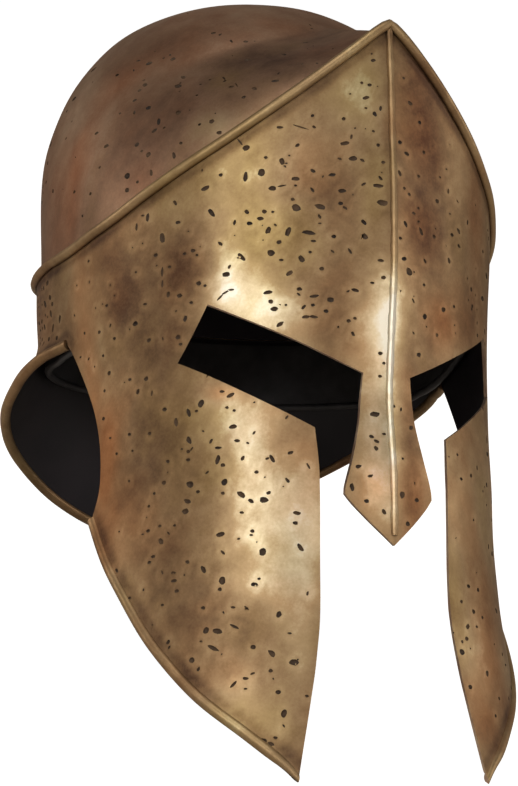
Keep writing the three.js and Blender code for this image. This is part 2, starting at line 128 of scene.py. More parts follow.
FOREHEAD_PITS = [
    (-3.3, 111.4, 2, 1.2, 10), (-5.9, 101.4, 1.3, 1), (-4.3, 100.8, 1.6, 1.2), (-5.1, 95.3, 2.7, 1.2, 20),
    (-2.2, 91.5, 2, 1.1, 80), (-3.4, 88.8, 2.1, 1.5, -60), (-5.2, 91, 1.1, 0.8), (-10, 85.7, 1.4, 1.3),
    (-16.9, 86.2, 1.5, 1.1, 30), (-16.5, 81.5, 1.5, 1.1, -20), (-19.5, 81.2, 6, 0.6, -15),
    (-24.3, 80.8, 2.4, 1), (-8.4, 78.5, 2, 0.9, 80), (-9.8, 75.5, 3.7, 1.5, 15), (-3.8, 81.6, 1.3, 0.9),
    (-31.8, 72.5, 2.7, 2.2, 30), (-33.5, 75, 3.2, 0.6, -50), (-20, 73.7, 1.8, 1.2, 30), (-2.9, 76, 1.4, 1.2),
    (-8.1, 69.4, 3.3, 1.9, 5), (-6.2, 69, 1.8, 1, -30), (-27, 68.5, 1.4, 1.2), (-23.3, 67, 2.6, 1.8, -70),
    (-22.6, 65, 1.2, 0.7, -40), (-2, 69, 1.6, 1.2, 20), (-37.4, 61.7, 1.5, 1.2), (-31.5, 60.7, 3.6, 1.6, 85),
    (-27.8, 62.4, 2.9, 2.4, 60), (-16.5, 63.4, 2.1, 1.2, -25), (-12.4, 62.2, 2.8, 1.2, 10),
    (-20.2, 60, 3.3, 1.6), (-20.2, 57.2, 1.1, 0.8), (-2.6, 62.3, 2.1, 1, -50), (-3, 59, 4.2, 1.4),
    (-6, 59.2, 2.1, 0.9, 35), (-41.2, 56.5, 3.7, 1.6, 20), (-25.3, 56, 2.9, 1.7), (-23.2, 57, 3.2, 0.6, 12),
    (-16.6, 55.7, 2.1, 0.9, -50), (-10.4, 55.9, 3, 1.5), (-2.3, 52.2, 4.2, 2.2), (-20.8, 51.6, 1.4, 1.2),
    (-20.1, 48.2, 3.3, 2.5, -20), (-15, 49, 3.9, 1.8, -15), (-10.7, 50.8, 1.7, 1.4), (-9.8, 49, 2, 1, -30),
    (-15.1, 45, 1.7, 1, -60), (-39.6, 46.5, 3.7, 1.7, -50), (-31.1, 46.4, 2, 1.4, -45),
    (-27.1, 46.5, 1.8, 1.5), (-25.2, 46.4, 1.2, 0.9), (-28, 43.7, 2.3, 1.4), (-34, 42.2, 2, 1, 75),
    (-30.5, 41.8, 2.3, 1.4), (-26.2, 39, 2.9, 1.9, 60), (-21.8, 38.4, 3.4, 1.9, 70),
    (-17.4, 38.3, 5, 1.6, -8), (-6, 43.7, 2.3, 1.4, -50), (-5.8, 37.9, 2.6, 1.9, -50),
    (-12.1, 37.2, 1.8, 1.4), (-16.4, 35, 2, 0.9), (-23.8, 34.2, 1.9, 1.4, 20), (-37.4, 33.8, 2.1, 1.1, -35),
    (-44.2, 31.5, 1.8, 1.4), (-25.6, 29.8, 2.7, 2.5), (-17.1, 30.5, 1.3, 1), (-8.8, 31.6, 2.5, 1, -55),
    (-32.4, 28.4, 3.7, 1.6, -45), (-18.9, 27.7, 2.7, 1.9, -50), (-23.3, 27, 1.7, 0.9),
    (-2.6, 28.7, 2.4, 1.1), (-35.2, 24.5, 1.6, 1, 70), (-36, 21.4, 2.9, 1.9, 10),
    (-21.5, 21.8, 2.9, 1.4, 30), (-14.6, 24, 1.6, 1.4), (-42.8, 18.2, 2, 1.6), (-41.2, 17.2, 1.3, 1.1),
    (-2, 21.9, 1.8, 1.3), (-4.2, 19.5, 1.7, 0.9), (-37.6, 12.2, 2.8, 0.8, 45), (-36.2, 14.2, 3, 0.8, 28),
    (-34.9, 15.2, 2.4, 0.8, 5), (-26.2, 14, 3.3, 1.4, 10), (-25.6, 10.4, 1.9, 1.5), (-24.8, 7.5, 2.6, 1.7),
    (-22.2, 9.1, 1, 0.8), (-19.3, 15.6, 1.9, 1.4), (-16.1, 13, 3.6, 1.1, 10), (-12.6, 11.8, 2.5, 2),
    (-7.6, 16.1, 3, 1.3, -10), (-16.3, 9.4, 1.5, 1.1), (-18.3, 8.5, 2, 1, 50), (-13.5, 7.2, 1.7, 1.3),
    (-17.8, 4.6, 2.8, 1.3, 8), (-16.1, 4.7, 2.8, 1.1, -8), (-8.7, 3.8, 1.7, 1.3), (-7.4, 5, 1.3, 1),
    (-23.5, 1.4, 3, 1.5, 35), (-7.7, -1.3, 1.9, 1.2, -60), (-2, -8.2, 1.9, 1.2), (2.9, 106, 1.3, 1),
    (4.6, 96, 2.5, 1.4, -20), (7.3, 89, 1.7, 1.3), (1.9, 78.5, 1.9, 1.5), (3.6, 74.4, 2.5, 1.3, -10),
    (8.6, 77, 1.7, 1.3), (1.6, 65.4, 2.5, 1.5, -60), (6.9, 66.3, 1.6, 1.2), (2.8, 59.6, 1.5, 1.2),
    (4.1, 57.7, 1.5, 1.2), (5.4, 50.4, 2.1, 1), (13, 58.2, 2, 1.6), (17, 64, 2, 1.1, 80), (6.8, 53, 1.4, 1),
    (3, 45, 2.5, 1.5, -55), (7.6, 43.6, 3.3, 1.6, -55), (11.9, 43, 1.9, 1.4), (18.4, 46, 2, 1.4),
    (21.2, 48.6, 2.7, 1.6, -30), (25.8, 54, 2, 1.2, 75), (17.6, 54.6, 1.1, 0.9), (21.4, 42.3, 2.3, 1.3, -20),
    (1.6, 38.7, 1.7, 1.2), (2.6, 30.6, 2.8, 1.4, 10), (4, 25.8, 3.2, 2.6, -30), (8.8, 31.8, 2.1, 1.2, -50),
    (17.2, 34.8, 2.3, 1.6, -60), (8.6, 22, 1.5, 1.1), (29, 26.7, 2.1, 1.7), (30, 20, 1.9, 1.5),
    (5.5, 14.6, 2.1, 0.8, -50), (19.8, 16.5, 1.5, 1.2), (6.9, 47.4, 1.3, 1), (9.2, 9.3, 2.3, 2),
    (15.6, 14, 2.4, 1.9, 20), (13.5, 3.1, 1.7, 1.4), (7.7, -6.5, 2.3, 1.6), (34, 8.6, 1.8, 1.4),
    (29.6, 18.7, 1.7, 1.3), (1, -28.7, 1.5, 1.1),
]
TEMPLE_PITS = [
    (-49, 51.5, 2.3, 1.2, -55), (-56.8, 46.8, 3.3, 1.6, 80), (-60.2, 43.6, 2.9, 1, 85),
    (-52.5, 37.7, 3.6, 2.2, -80), (-48.2, 43.4, 1.9, 1.2), (-46.4, 30.5, 1.4, 1.1), (-54.4, 31, 1.8, 1.4),
    (-43.2, 29.6, 1.1, 0.9), (-52.5, 24, 3.7, 1, 88), (-50.5, 25.6, 1.6, 1.1), (-52.5, 19, 2.7, 0.8, 88),
    (-51, 14.5, 2.1, 1.4, 85), (-47.9, 13.7, 2.1, 1.5), (-57.8, 11.5, 1.9, 0.8), (-44.9, 10.6, 1.4, 1.1),
    (-70.2, 13.3, 1.8, 1), (-61.3, 4, 2.5, 1.9, 10), (-46.7, 4.2, 2.3, 1.4, 80), (-48.9, -3, 2.1, 1.7),
    (-57.5, -3.3, 1.9, 1.4, 20), (-48.3, -6, 1.6, 1), (-73.6, 3, 1.9, 1.4), (-79.3, 4, 1.4, 1.1),
    (-68.4, -0.8, 1.6, 1.2), (-72.9, -7, 1.4, 1.1), (-78.5, -7, 1.6, 1, 30), (-71, -14.6, 2, 1.7),
    (-58.8, -18.8, 2, 1.5, 20), (-72.7, -21.6, 1.5, 1.2), (-61.4, -23.7, 2.2, 1.5, 60),
    (-57, -24.8, 2, 0.9, 85), (-64, -18.4, 1.7, 1.1), (-53.2, -31.7, 1.9, 1.5), (-43, -30, 2.9, 2.1, 70),
    (-46.4, -33.6, 3.3, 1.4, -70), (-50, -37, 3.3, 1.5, -80), (-72.8, -33, 2, 1.4), (-44.3, -33, 1.3, 1),
    (-37.4, -25.4, 2, 1), (-35.3, -27, 3, 1.4, 30), (-36.3, -31.8, 1.4, 1.1), (-34.5, -33, 1.3, 1),
    (-76.6, 33.5, 1.4, 1.1), (-60.3, 25, 1, 0.8),
]
CHEEK_PITS = [
    (-35, -39.4, 3, 1.6, 10), (-46.6, -44.5, 2.9, 1.8, -60), (-40.8, -45.2, 2.1, 1, 60),
    (-34.2, -45, 2.1, 1.2), (-31.6, -46, 1.2, 0.7, -20), (-46.9, -49, 1.5, 1.3), (-39, -47.8, 2.3, 1.1),
    (-47, -52.3, 1.7, 1.3), (-39.2, -52.5, 3.4, 1.6, 80), (-38, -54.7, 1.8, 1.4), (-33, -52, 2, 1.2, 70),
    (-26, -52, 3.1, 1.3, -60), (-21.7, -49.5, 2.1, 1.1, 20), (-17.8, -54.5, 2.4, 0.8, -60),
    (-52.6, -52.6, 1.5, 1.2), (-68, -48, 1.4, 1.1), (-64, -40.6, 1.7, 1.2), (-57.8, -41, 1.6, 1.2),
    (-63, -47.5, 1.1, 0.9), (-42, -57.5, 1.6, 0.7, 40), (-29.8, -57.4, 1.5, 1.2),
    (-22.6, -60.4, 2.1, 1.1, -50), (-53.7, -61, 1.9, 1.5), (-64, -59.5, 1.1, 0.9),
    (-46.5, -62, 3.1, 2.3, -10), (-37.6, -61.4, 2.7, 2.1, 60), (-44.3, -65, 1.5, 1.2),
    (-37.9, -65.7, 1.5, 1.2), (-56.3, -65, 1.3, 1), (-46.9, -68.6, 3, 1.6, -20),
    (-33.4, -66.2, 3.4, 1.8, -35), (-31, -68.6, 2.2, 1.4, -30), (-26.9, -65.4, 1.7, 1.2, 20),
    (-27.9, -68.2, 3.1, 2.1, -5), (-47.2, -72.6, 2.5, 2.2), (-33, -73.2, 1.6, 1),
    (-20.3, -73, 2.9, 1.4, -10), (-20.5, -76.8, 1.7, 1.4), (-57.6, -70, 1.3, 1), (-53.8, -78, 1.4, 1.1),
    (-57, -79.8, 1.9, 1.2), (-53, -84, 2.7, 1.9, -45), (-49.7, -78, 1.3, 0.9), (-37.6, -81.7, 3.5, 1.6, 15),
    (-30.1, -80.3, 1.6, 1.3), (-36.6, -88.7, 2.2, 0.9, -45), (-27.4, -88.3, 2.8, 2.4, 80),
    (-19.1, -86.2, 3.3, 1.5, -50), (-54.6, -90, 1.9, 1.1), (-55.5, -92.3, 1.6, 1.2),
    (-45.2, -92.3, 1.6, 1.3), (-65, -95, 1.9, 1.1, -40), (-41, -95.3, 2.9, 1.6, -60), (-48.6, -96.5, 1.9, 1),
    (-48.3, -99.6, 2.1, 1.2, 10), (-47.4, -103.6, 1.7, 1.3), (-36.3, -99.4, 3.2, 2.3, 80),
    (-36.8, -102.8, 1.6, 1.3), (-28.8, -100.8, 2.3, 1.5), (-27.8, -98.6, 1.2, 0.9), (-40.6, -110, 1.6, 1.2),
    (-33.5, -109.6, 1.6, 0.9), (-30.4, -109.8, 2.1, 0.7, -40), (-23.2, -112, 2.3, 1.8, 60),
    (-17.2, -103.7, 1.7, 0.8, 80), (-39.7, -118.6, 2.5, 1.9, 60), (-37.1, -118.8, 3.5, 1.9, -15),
    (-33.1, -117, 3.6, 1, -25), (-20.9, -119, 1.5, 0.8), (-49.2, -123.2, 1.9, 1.3, 60),
    (-38, -125.2, 4.7, 1.4, -25), (-28.8, -124.6, 1.9, 1.5), (-24.7, -126.8, 3.1, 1.8, -40),
    (-20.1, -130, 3.5, 2), (-43.2, -130, 2.2, 1.9), (-41.6, -133.3, 1.7, 1, 70), (-25, -133.3, 1.6, 1.2),
    (-30.6, -136.4, 2.1, 1), (-33.4, -138.7, 3.3, 1, 50), (-23.6, -141.2, 1.9, 1.5),
    (-22.6, -149.2, 2.7, 2, 75), (-27.2, -159.2, 2.2, 1.3, -20), (-25.8, -160.4, 2.4, 1.2, -25),
    (-24.7, -158.2, 1.5, 1), (-17.6, -142.5, 1.3, 1), (-60.4, -106, 1.3, 1), (-51, -109, 1.3, 1),
    (21, -54.2, 1.7, 1.3), (26, -52, 2.1, 1.5, 20), (34, -57, 1.3, 1), (26.6, -70, 1.3, 1),
    (20, -44.5, 1.4, 1.1), (30.3, -48, 2, 1.2, 80), (22.3, -97, 2.1, 1.4), (26.8, -98, 1.9, 1.5),
    (18.9, -103.5, 1.7, 1.3), (23.5, -107, 2.1, 1.7), (27.4, -109, 1.7, 1.3), (20.2, -113.2, 2.7, 1.8, 30),
    (24, -113, 1.4, 1), (19.2, -118, 2.1, 1.7), (17.4, -119.4, 1.4, 1.1), (16.8, -123.4, 3, 2.1),
    (18.2, -137, 2.3, 1.7), (25.8, -131.4, 2.3, 2, 60), (31, -141, 1.7, 1.3), (27.4, -148, 1.6, 1.2),
]
NASAL_PITS = [
    (-3, -32.6, 3.9, 1.8), (-4, -41.6, 2, 1.2, -15), (-3, -43.4, 2.1, 1.2, -20),
    (-3.2, -46.2, 1.9, 1.4, -50), (-1.4, -40.3, 1.6, 0.9), (-7, -53.8, 2.4, 1.3, 20),
    (-4.6, -57.3, 2.2, 1, 20), (-8.4, -62, 3, 1.6, -75), (-5.4, -67.2, 1.8, 1.4), (-2, -71, 2.3, 1.4, -60),
    (1.8, -63.9, 2.6, 2.3, 80), (5.4, -65.4, 2, 1.6), (3, -75, 2, 1.8), (2.8, -29.5, 1.7, 0.8, 80),
    (5.2, -36.4, 2.2, 1.5, 20), (2.3, -49.4, 1.2, 0.9), (-1.2, -12, 1.5, 1), (-1.9, -17.3, 1.5, 1.1),
]
CROWN_PITS = [
    (-59, 121, 2.5, 1.5, 10), (-51, 121.5, 1.8, 1.4), (-58, 110, 2.3, 1.4, -20), (-59.5, 107.5, 1.6, 1.2),
    (-47.7, 106, 3.3, 1.6, -25), (-46.5, 110.8, 2.5, 1.2, -30), (-60.5, 102.7, 1.7, 1.3),
    (-56, 97, 2.5, 1.6, -30), (-48, 91.5, 2.7, 1.6, -30), (-34.8, 101, 2.3, 1.3), (-36, 104.8, 1.5, 1),
    (-41.8, 105, 1.1, 0.8), (-30, 98.6, 2.1, 1.2, -30), (-32.7, 94.7, 1.6, 1.2), (-25, 102, 2.5, 1.2),
    (-29.3, 117.3, 2.1, 1.4), (-20, 118.6, 2.1, 1.1, -50), (-29.2, 129, 1.6, 1.2),
    (-60.3, 96.2, 1.8, 1, -60), (-53.3, 88.7, 2.9, 1.4, -65), (-54.8, 84.8, 2.1, 1.3, 30),
    (-40.5, 85, 1.8, 1.5), (-43.3, 84.2, 1.1, 0.9), (-39, 79.7, 1.7, 1.3), (-73, 90.5, 2.1, 1),
    (-69.6, 82.7, 2.3, 1.3), (-60.2, 80, 1.9, 1.4), (-57.2, 74.2, 2.1, 1.8), (-50.2, 71.8, 2.5, 1.3, -70),
    (-48.2, 76.8, 1.3, 1), (-64, 66.5, 2.5, 1.9), (-56.8, 66, 2.3, 1.2, -70), (-64.3, 60.3, 1.9, 1.5),
    (-61, 63, 1.3, 1), (-76.8, 63, 1.4, 1.1), (-83, 66.5, 1.4, 1.1), (-80.5, 54.5, 1.3, 1),
    (-72.5, 73.5, 1.2, 0.9), (-43, 99, 1.1, 0.9), (-39.4, 107, 1, 0.8), (-59, 76.5, 1.1, 0.9),
    (-52, 85.3, 1.1, 0.8), (-65, 97.5, 1.1, 0.8), (-36, 106.5, 3, 0.6, -50), (-33.6, 101.5, 3.4, 0.6, -55),
    (-70, 118, 1.5, 1.1), (-40, 134, 1.7, 1.2), (-12, 128, 1.8, 1.3),
]

# Where the surface is lighter or darker: mostly patina, but the bright patches above the near eye, on the
# nasal root and down the near cheek are painted highlights, and the dark patches on the near temple are
# painted dark reflections. The places were charted by eye in the same way, and the tones were set by
# comparing small patches of the photo and of a render.
# turn, z, reach round in mm, reach up in mm, tone (dark below 0), tint (olive below 0, copper above)
FACE_TONES = np.array([
    (-30, 11, 13, 8, 1, -0.1), (-12, 0, 7, 6, -0.35, 0.2), (-36, 22, 5, 8, 0.55, 0),
    (-25, 3, 8, 6, 0.5, 0.1), (-1.5, 6, 8, 13, 1.2, 0), (-6, 100, 8, 16, 0.5, -0.4),
    (-4, 58, 5, 14, 0.2, -0.5), (-15, 56, 13, 6, -0.35, 0.25), (-13, 92, 12, 8, 0.05, 0.1),
    (-33, 60, 11, 14, 0.28, -0.4), (-24, 36, 14, 12, 0.12, -0.6), (-14, 22, 10, 9, -0.12, 0.2),
    (-48, 24, 9, 13, -0.52, 0.1), (-66, 14, 9, 10, -0.55, 0.4), (-81, 26, 6, 20, 0.35, 0.7),
    (-70, 34, 9, 6, -0.45, 0.2), (-58, -6, 12, 12, -0.15, -0.2), (-52, -27, 11, 12, 0.08, -0.3),
    (-78, -12, 6, 20, 0.45, 0.9), (-72, -52, 6, 20, 0.25, 1), (-57, -46, 10, 16, -0.38, -0.2),
    (-52, -92, 12, 14, -0.5, 0.2), (-60, -74, 8, 14, -0.2, 0), (-47, -112, 9, 9, -0.2, 0),
    (-30, -60, 10, 18, 0.6, 0), (-27, -86, 10, 14, 0.6, 0), (-28, -103, 7, 6, 0.45, 0),
    (-34, -38, 9, 8, 0.8, 0), (-17, -70, 5, 20, 0.45, 0.25), (-18, -112, 6, 28, 0.7, 0.1),
    (-36, -130, 12, 9, 0.05, 0.2), (-29, -151, 11, 9, 0.6, -0.5), (-38, -26, 6, 3, 0.1, 0.9),
    (-3, -60, 5, 10, 0.55, 0.4), (4.5, -66, 5, 13, -0.5, 0.8), (5, -30, 4, 16, -0.2, 0.4),
    (-4, -38, 5, 14, 0.7, 0.35), (10, 66, 12, 28, -0.7, 0.3), (7, 44, 8, 10, -0.2, 0.3),
    (14, 6, 7, 9, -0.25, 0.7), (26, 12, 7, 10, -0.3, 0.4), (12, 26, 8, 8, 0, -0.3),
    (6, 104, 7, 12, -0.35, 0.4), (31, 62, 7, 28, -0.1, 0.5), (26, -58, 7, 20, 0.35, 0.3),
    (24, -134, 7, 16, 0.4, 0.2), (17, -95, 5, 10, 0.1, -0.5), (22, -152, 6, 9, -0.15, 0.5),
    (29, -120, 7, 20, -0.05, 0.4), (70, 10, 16, 24, -0.4, 0.3), (52, 30, 10, 14, -0.5, 0.1),
    (55, -88, 13, 14, -0.6, 0.2), (38, -60, 12, 20, 0.3, 0), (74, -40, 8, 24, 0, 0.8),
    (95, 20, 14, 12, -0.3, 0.2), (-100, 16, 14, 12, -0.25, 0.3), (122, 0, 16, 16, 0.25, -0.3),
    (-125, -2, 18, 14, 0.2, -0.3), (150, -14, 16, 18, -0.4, 0.2), (-152, -20, 18, 16, -0.35, 0.3),
    (178, 0, 20, 16, 0.3, -0.2), (176, -40, 24, 10, -0.2, 0.4), (0, 0, 4, 28, 0.4, 0),
    (0, -45, 3, 30, 0.5, 0),
])
CROWN_TONES = np.array([
    (-24, 115, 16, 8, -0.4, 0.1), (-52, 86, 16, 13, -0.5, 0.1), (-39, 83, 8, 5, 0.6, -0.3),
    (-36, 107, 9, 5, 0.25, -0.5), (-84, 62, 7, 26, 0.05, 0.7), (-86, 104, 10, 18, 0.45, 0.2),
    (-30, 146, 34, 7, 0.2, 0.4), (-66, 112, 12, 12, 0.1, 0.3), (-60, 66, 10, 8, -0.25, 0.4),
    (-75, 88, 9, 14, 0.1, 0.2), (30, 110, 18, 12, -0.5, 0.1), (60, 80, 16, 16, -0.3, 0.3),
    (95, 70, 16, 18, 0.2, -0.2), (130, 100, 18, 16, -0.4, 0.1), (165, 70, 20, 16, 0.2, 0.2),
    (-120, 75, 18, 16, -0.3, 0.1), (-160, 110, 18, 16, 0.25, -0.1),
])


def course(table, column):
    """A smooth monotone curve through one column of a table, as the CAD reads it."""
    xs = table[:, 0].astype(float)
    ys = table[:, column].astype(float)
    slopes = np.diff(ys) / np.diff(xs)
    tangents = np.zeros(len(xs))
    tangents[0] = slopes[0]
    tangents[-1] = slopes[-1]
    product = slopes[:-1] * slopes[1:]
    total = slopes[:-1] + slopes[1:]
    tangents[1:-1] = np.where(product > 0, 2 * product / np.where(total == 0, 1, total), 0)

    def read(x):
        at = np.clip(np.asarray(x, float), xs[0], xs[-1])
        i = np.clip(np.searchsorted(xs, at, side="right") - 1, 0, len(xs) - 2)
        step = xs[i + 1] - xs[i]
        t = (at - xs[i]) / step
        low = (1 + 2 * t) * (1 - t) ** 2 * ys[i] + t * (1 - t) ** 2 * step * tangents[i]
        return low + t * t * (3 - 2 * t) * ys[i + 1] + t * t * (t - 1) * step * tangents[i + 1]
    return read


half_at, square_at, keel_at, front_at = (course(WALL, column) for column in (1, 2, 3, 4))
rib_height = course(RIB, 1)
neck_height = course(NECK, 1)
neck_reach = course(NECK, 2)


def smooth(value, low, high):
    t = np.clip((value - low) / (high - low), 0, 1)
    return t * t * (3 - 2 * t)


# ---------------------------------------------------------------- surfaces

def wall_smooth(turn, z):
    """The wall's outer face as the CAD has it. turn is 0 in front, 180 behind, and negative at -X."""
    turn, z = np.broadcast_arrays(np.asarray(turn, float), np.asarray(z, float))
    away = np.abs(turn)
    half, keel = half_at(z), keel_at(z)
    power = 2 / square_at(z)
    start = np.arcsin((keel / (half + keel)) ** (1 / power))
    angle = start + (np.pi / 2 - start) * np.minimum(away / 90, 1)
    depth = (front_at(z) + MID_Y) / np.cos(start) ** power
    front_x = (half + keel) * np.sin(angle) ** power - keel
    front_y = MID_Y - depth * np.clip(np.cos(angle), 0, 1) ** power
    back_x = half * np.sin(np.radians(np.maximum(away, 90)))
    back_y = MID_Y - BACK_DEPTH * np.cos(np.radians(np.maximum(away, 90)))
    x = np.where(away <= 90, front_x, back_x)
    y = np.where(away <= 90, front_y, back_y)
    share = np.maximum(FLARE_TOP - z, 0) / (FLARE_TOP - neck_height(away))
    flare = neck_reach(away) * np.minimum(share, 1.1) ** FLARE_POWER
    grow = 1 + flare / np.hypot(x, y - MID_Y)
    return np.stack([np.where(turn < 0, -1, 1) * x * grow, MID_Y + (y - MID_Y) * grow, z + 0 * x], -1)


def normals_of(surface, turn, v, step):
    """The outward normals of surface(turn, v)."""
    turn, v = np.broadcast_arrays(np.asarray(turn, float), np.asarray(v, float))
    away = np.maximum(np.abs(turn), 0.01)
    along = surface(away + 0.5, v) - surface(away - 0.5, v)
    up = surface(away, v + step) - surface(away, v - step)
    normal = np.cross(along, up)
    middle = (np.abs(turn) < 0.01) | (np.abs(turn) > 179.99)
    normal[..., 0] = np.where(middle, 0, normal[..., 0]) * np.where(turn < 0, -1, 1)
    return normal / np.linalg.norm(normal, axis=-1, keepdims=True)


def wave_set(count, shortest, longest, seed):
    """Plane waves in all directions, for the hand-worked unevenness of the sheet."""
    draw = np.random.default_rng(seed)
    direction = draw.normal(size=(count, 3))
    direction /= np.linalg.norm(direction, axis=1, keepdims=True)
    length = draw.uniform(shortest, longest, count)
    return direction * (2 * np.pi / length)[:, None], draw.uniform(0, 2 * np.pi, count)


WAVES = wave_set(18, 26, 80, SEED)
UNEVEN = 0.05


def uneven(points):
    """How far the sheet stands out at each point, in mm."""
    vectors, phases = WAVES
    return UNEVEN * np.sin(points @ vectors.T + phases).sum(-1)


def wall_normal(turn, z):
    return normals_of(wall_smooth, turn, z, 0.5)


def wall(turn, z, depth=0.0):
    """The worked wall, moved inwards by depth."""
    flat = wall_smooth(turn, z)
    return flat + wall_normal(turn, z) * (uneven(flat) - depth)[..., None]


def crown_seat(turn, lift):
    """Where the crown meets the wall from inside, lift above the rib's line."""
    away = np.abs(turn)
    drop = CROWN["drop"] * smooth(CROWN["drop_turn"] - away, 0, CROWN["drop_turn"])
    z = rib_height(away) - drop + lift
    seat = wall(turn, np.minimum(z, rib_height(away)), SHEET + CROWN["gap"])
    seat[..., 2] = z
    return seat


def crown(turn, climb):
    """The crown's outer face, from 0 at its seat under the rib to 1 at the top."""
    turn, climb = np.broadcast_arrays(np.asarray(turn, float), np.asarray(climb, float))
    foot = crown_seat(turn, RIB_RADIUS / 2)
    z = foot[..., 2] + (CROWN["top"] - foot[..., 2]) * np.sin(climb * np.pi / 2)
    rise = np.maximum((z - CROWN["shoulder"]) / (CROWN["top"] - CROWN["shoulder"]), 0)
    reach = np.maximum(1 - rise ** CROWN["power"], 0) ** (1 / CROWN["power"])
    depth = np.where(np.abs(turn) < 90, CROWN["front"], CROWN["back"])
    angle = np.radians(turn)
    x = CROWN["half"] * np.sin(angle) * reach
    dome = np.stack([x, CROWN["centre"] - depth * np.cos(angle) * reach, z], -1)
    share = smooth(climb, 0, CROWN["blend"])[..., None]
    mixed = foot + (dome - foot) * share
    mixed[..., 2] = z
    return mixed


def crown_normal(turn, climb):
    return normals_of(crown, turn, climb, 0.004)


def stand(points):
    """Worn millimetres to standing metres."""
    points = np.asarray(points, float)
    c, s = math.cos(LEAN), math.sin(LEAN)
    x, y, z = points[..., 0], points[..., 1], points[..., 2]
    return np.stack([x, c * y - s * z + SHIFT_Y, s * y + c * z + SHIFT_Z], -1) * MM


# ---------------------------------------------------------------- materials

BRASS, INSIDE, EDGE, PIT, BEAD, RIDGE = range(6)


class Nodes:
    """Short calls for building a node tree."""

    def __init__(self, name):
        self.material = bpy.data.materials.new(name)
        self.material.use_nodes = True
        self.tree = self.material.node_tree
        self.shader = self.tree.nodes["Principled BSDF"]
        self.coords = self.tree.nodes.new("ShaderNodeTexCoord").outputs["Object"]

    def new(self, kind, **settings):
        node = self.tree.nodes.new(kind)
        for key, value in settings.items():
            setattr(node, key, value)
        return node

    def link(self, output, target):
        self.tree.links.new(output, target)

    def stretched(self, scale, turn=(0, 0, 0)):
        node = self.new("ShaderNodeMapping")
        node.inputs["Scale"].default_value = scale
        node.inputs["Rotation"].default_value = turn
        self.link(self.coords, node.inputs["Vector"])
        return node.outputs["Vector"]

    def noise(self, scale, detail=4.0, rough=0.55, vector=None, twist=0.0):
        node = self.new("ShaderNodeTexNoise")
        node.inputs["Scale"].default_value = scale
        node.inputs["Detail"].default_value = detail
        node.inputs["Roughness"].default_value = rough
        node.inputs["Distortion"].default_value = twist
        self.link(vector if vector is not None else self.coords, node.inputs["Vector"])
        return node.outputs["Fac"]

    def ramp(self, value, stops):
        node = self.new("ShaderNodeValToRGB")
        while len(node.color_ramp.elements) < len(stops):
            node.color_ramp.elements.new(0.5)
        for element, (place, colour) in zip(node.color_ramp.elements, stops):
            element.position = place
            element.color = (*colour, 1) if len(colour) == 3 else colour
        self.link(value, node.inputs["Fac"])
        return node.outputs["Color"]

    def fade(self, value, low, high, to_low=0.0, to_high=1.0):
        node = self.new("ShaderNodeMapRange")
        for key, number in (("From Min", low), ("From Max", high), ("To Min", to_low), ("To Max", to_high)):
            node.inputs[key].default_value = number
        self.link(value, node.inputs["Value"])
        return node.outputs["Result"]

    def mix(self, share, first, second, blend="MIX"):
        node = self.new("ShaderNodeMix", data_type="RGBA", blend_type=blend)
        for key, value in (("Factor", share), ("A", first), ("B", second)):
            sockets = [s for s in node.inputs if s.name == key and s.enabled]
            if isinstance(value, (int, float)):
                sockets[0].default_value = value
            elif isinstance(value, tuple):
                sockets[0].default_value = (*value, 1)
            else:
                self.link(value, sockets[0])
        return [s for s in node.outputs if s.enabled][0]

    def math(self, operation, first, second):
        node = self.new("ShaderNodeMath", operation=operation)
        for socket, value in zip(node.inputs, (first, second)):
            if isinstance(value, (int, float)):
                socket.default_value = value
            else:
                self.link(value, socket)
        return node.outputs["Value"]

    def bump(self, height, strength, distance, under=None):
        node = self.new("ShaderNodeBump")
        node.inputs["Strength"].default_value = strength
        node.inputs["Distance"].default_value = distance
        self.link(height, node.inputs["Height"])
        if under is not None:
            self.link(under, node.inputs["Normal"])
        return node.outputs["Normal"]


def srgb(text):
    """A web colour as linear numbers."""
    parts = [int(text[i:i + 2], 16) / 255 for i in (0, 2, 4)]
    return tuple(p / 12.92 if p <= 0.04045 else ((p + 0.055) / 1.055) ** 2.4 for p in parts)


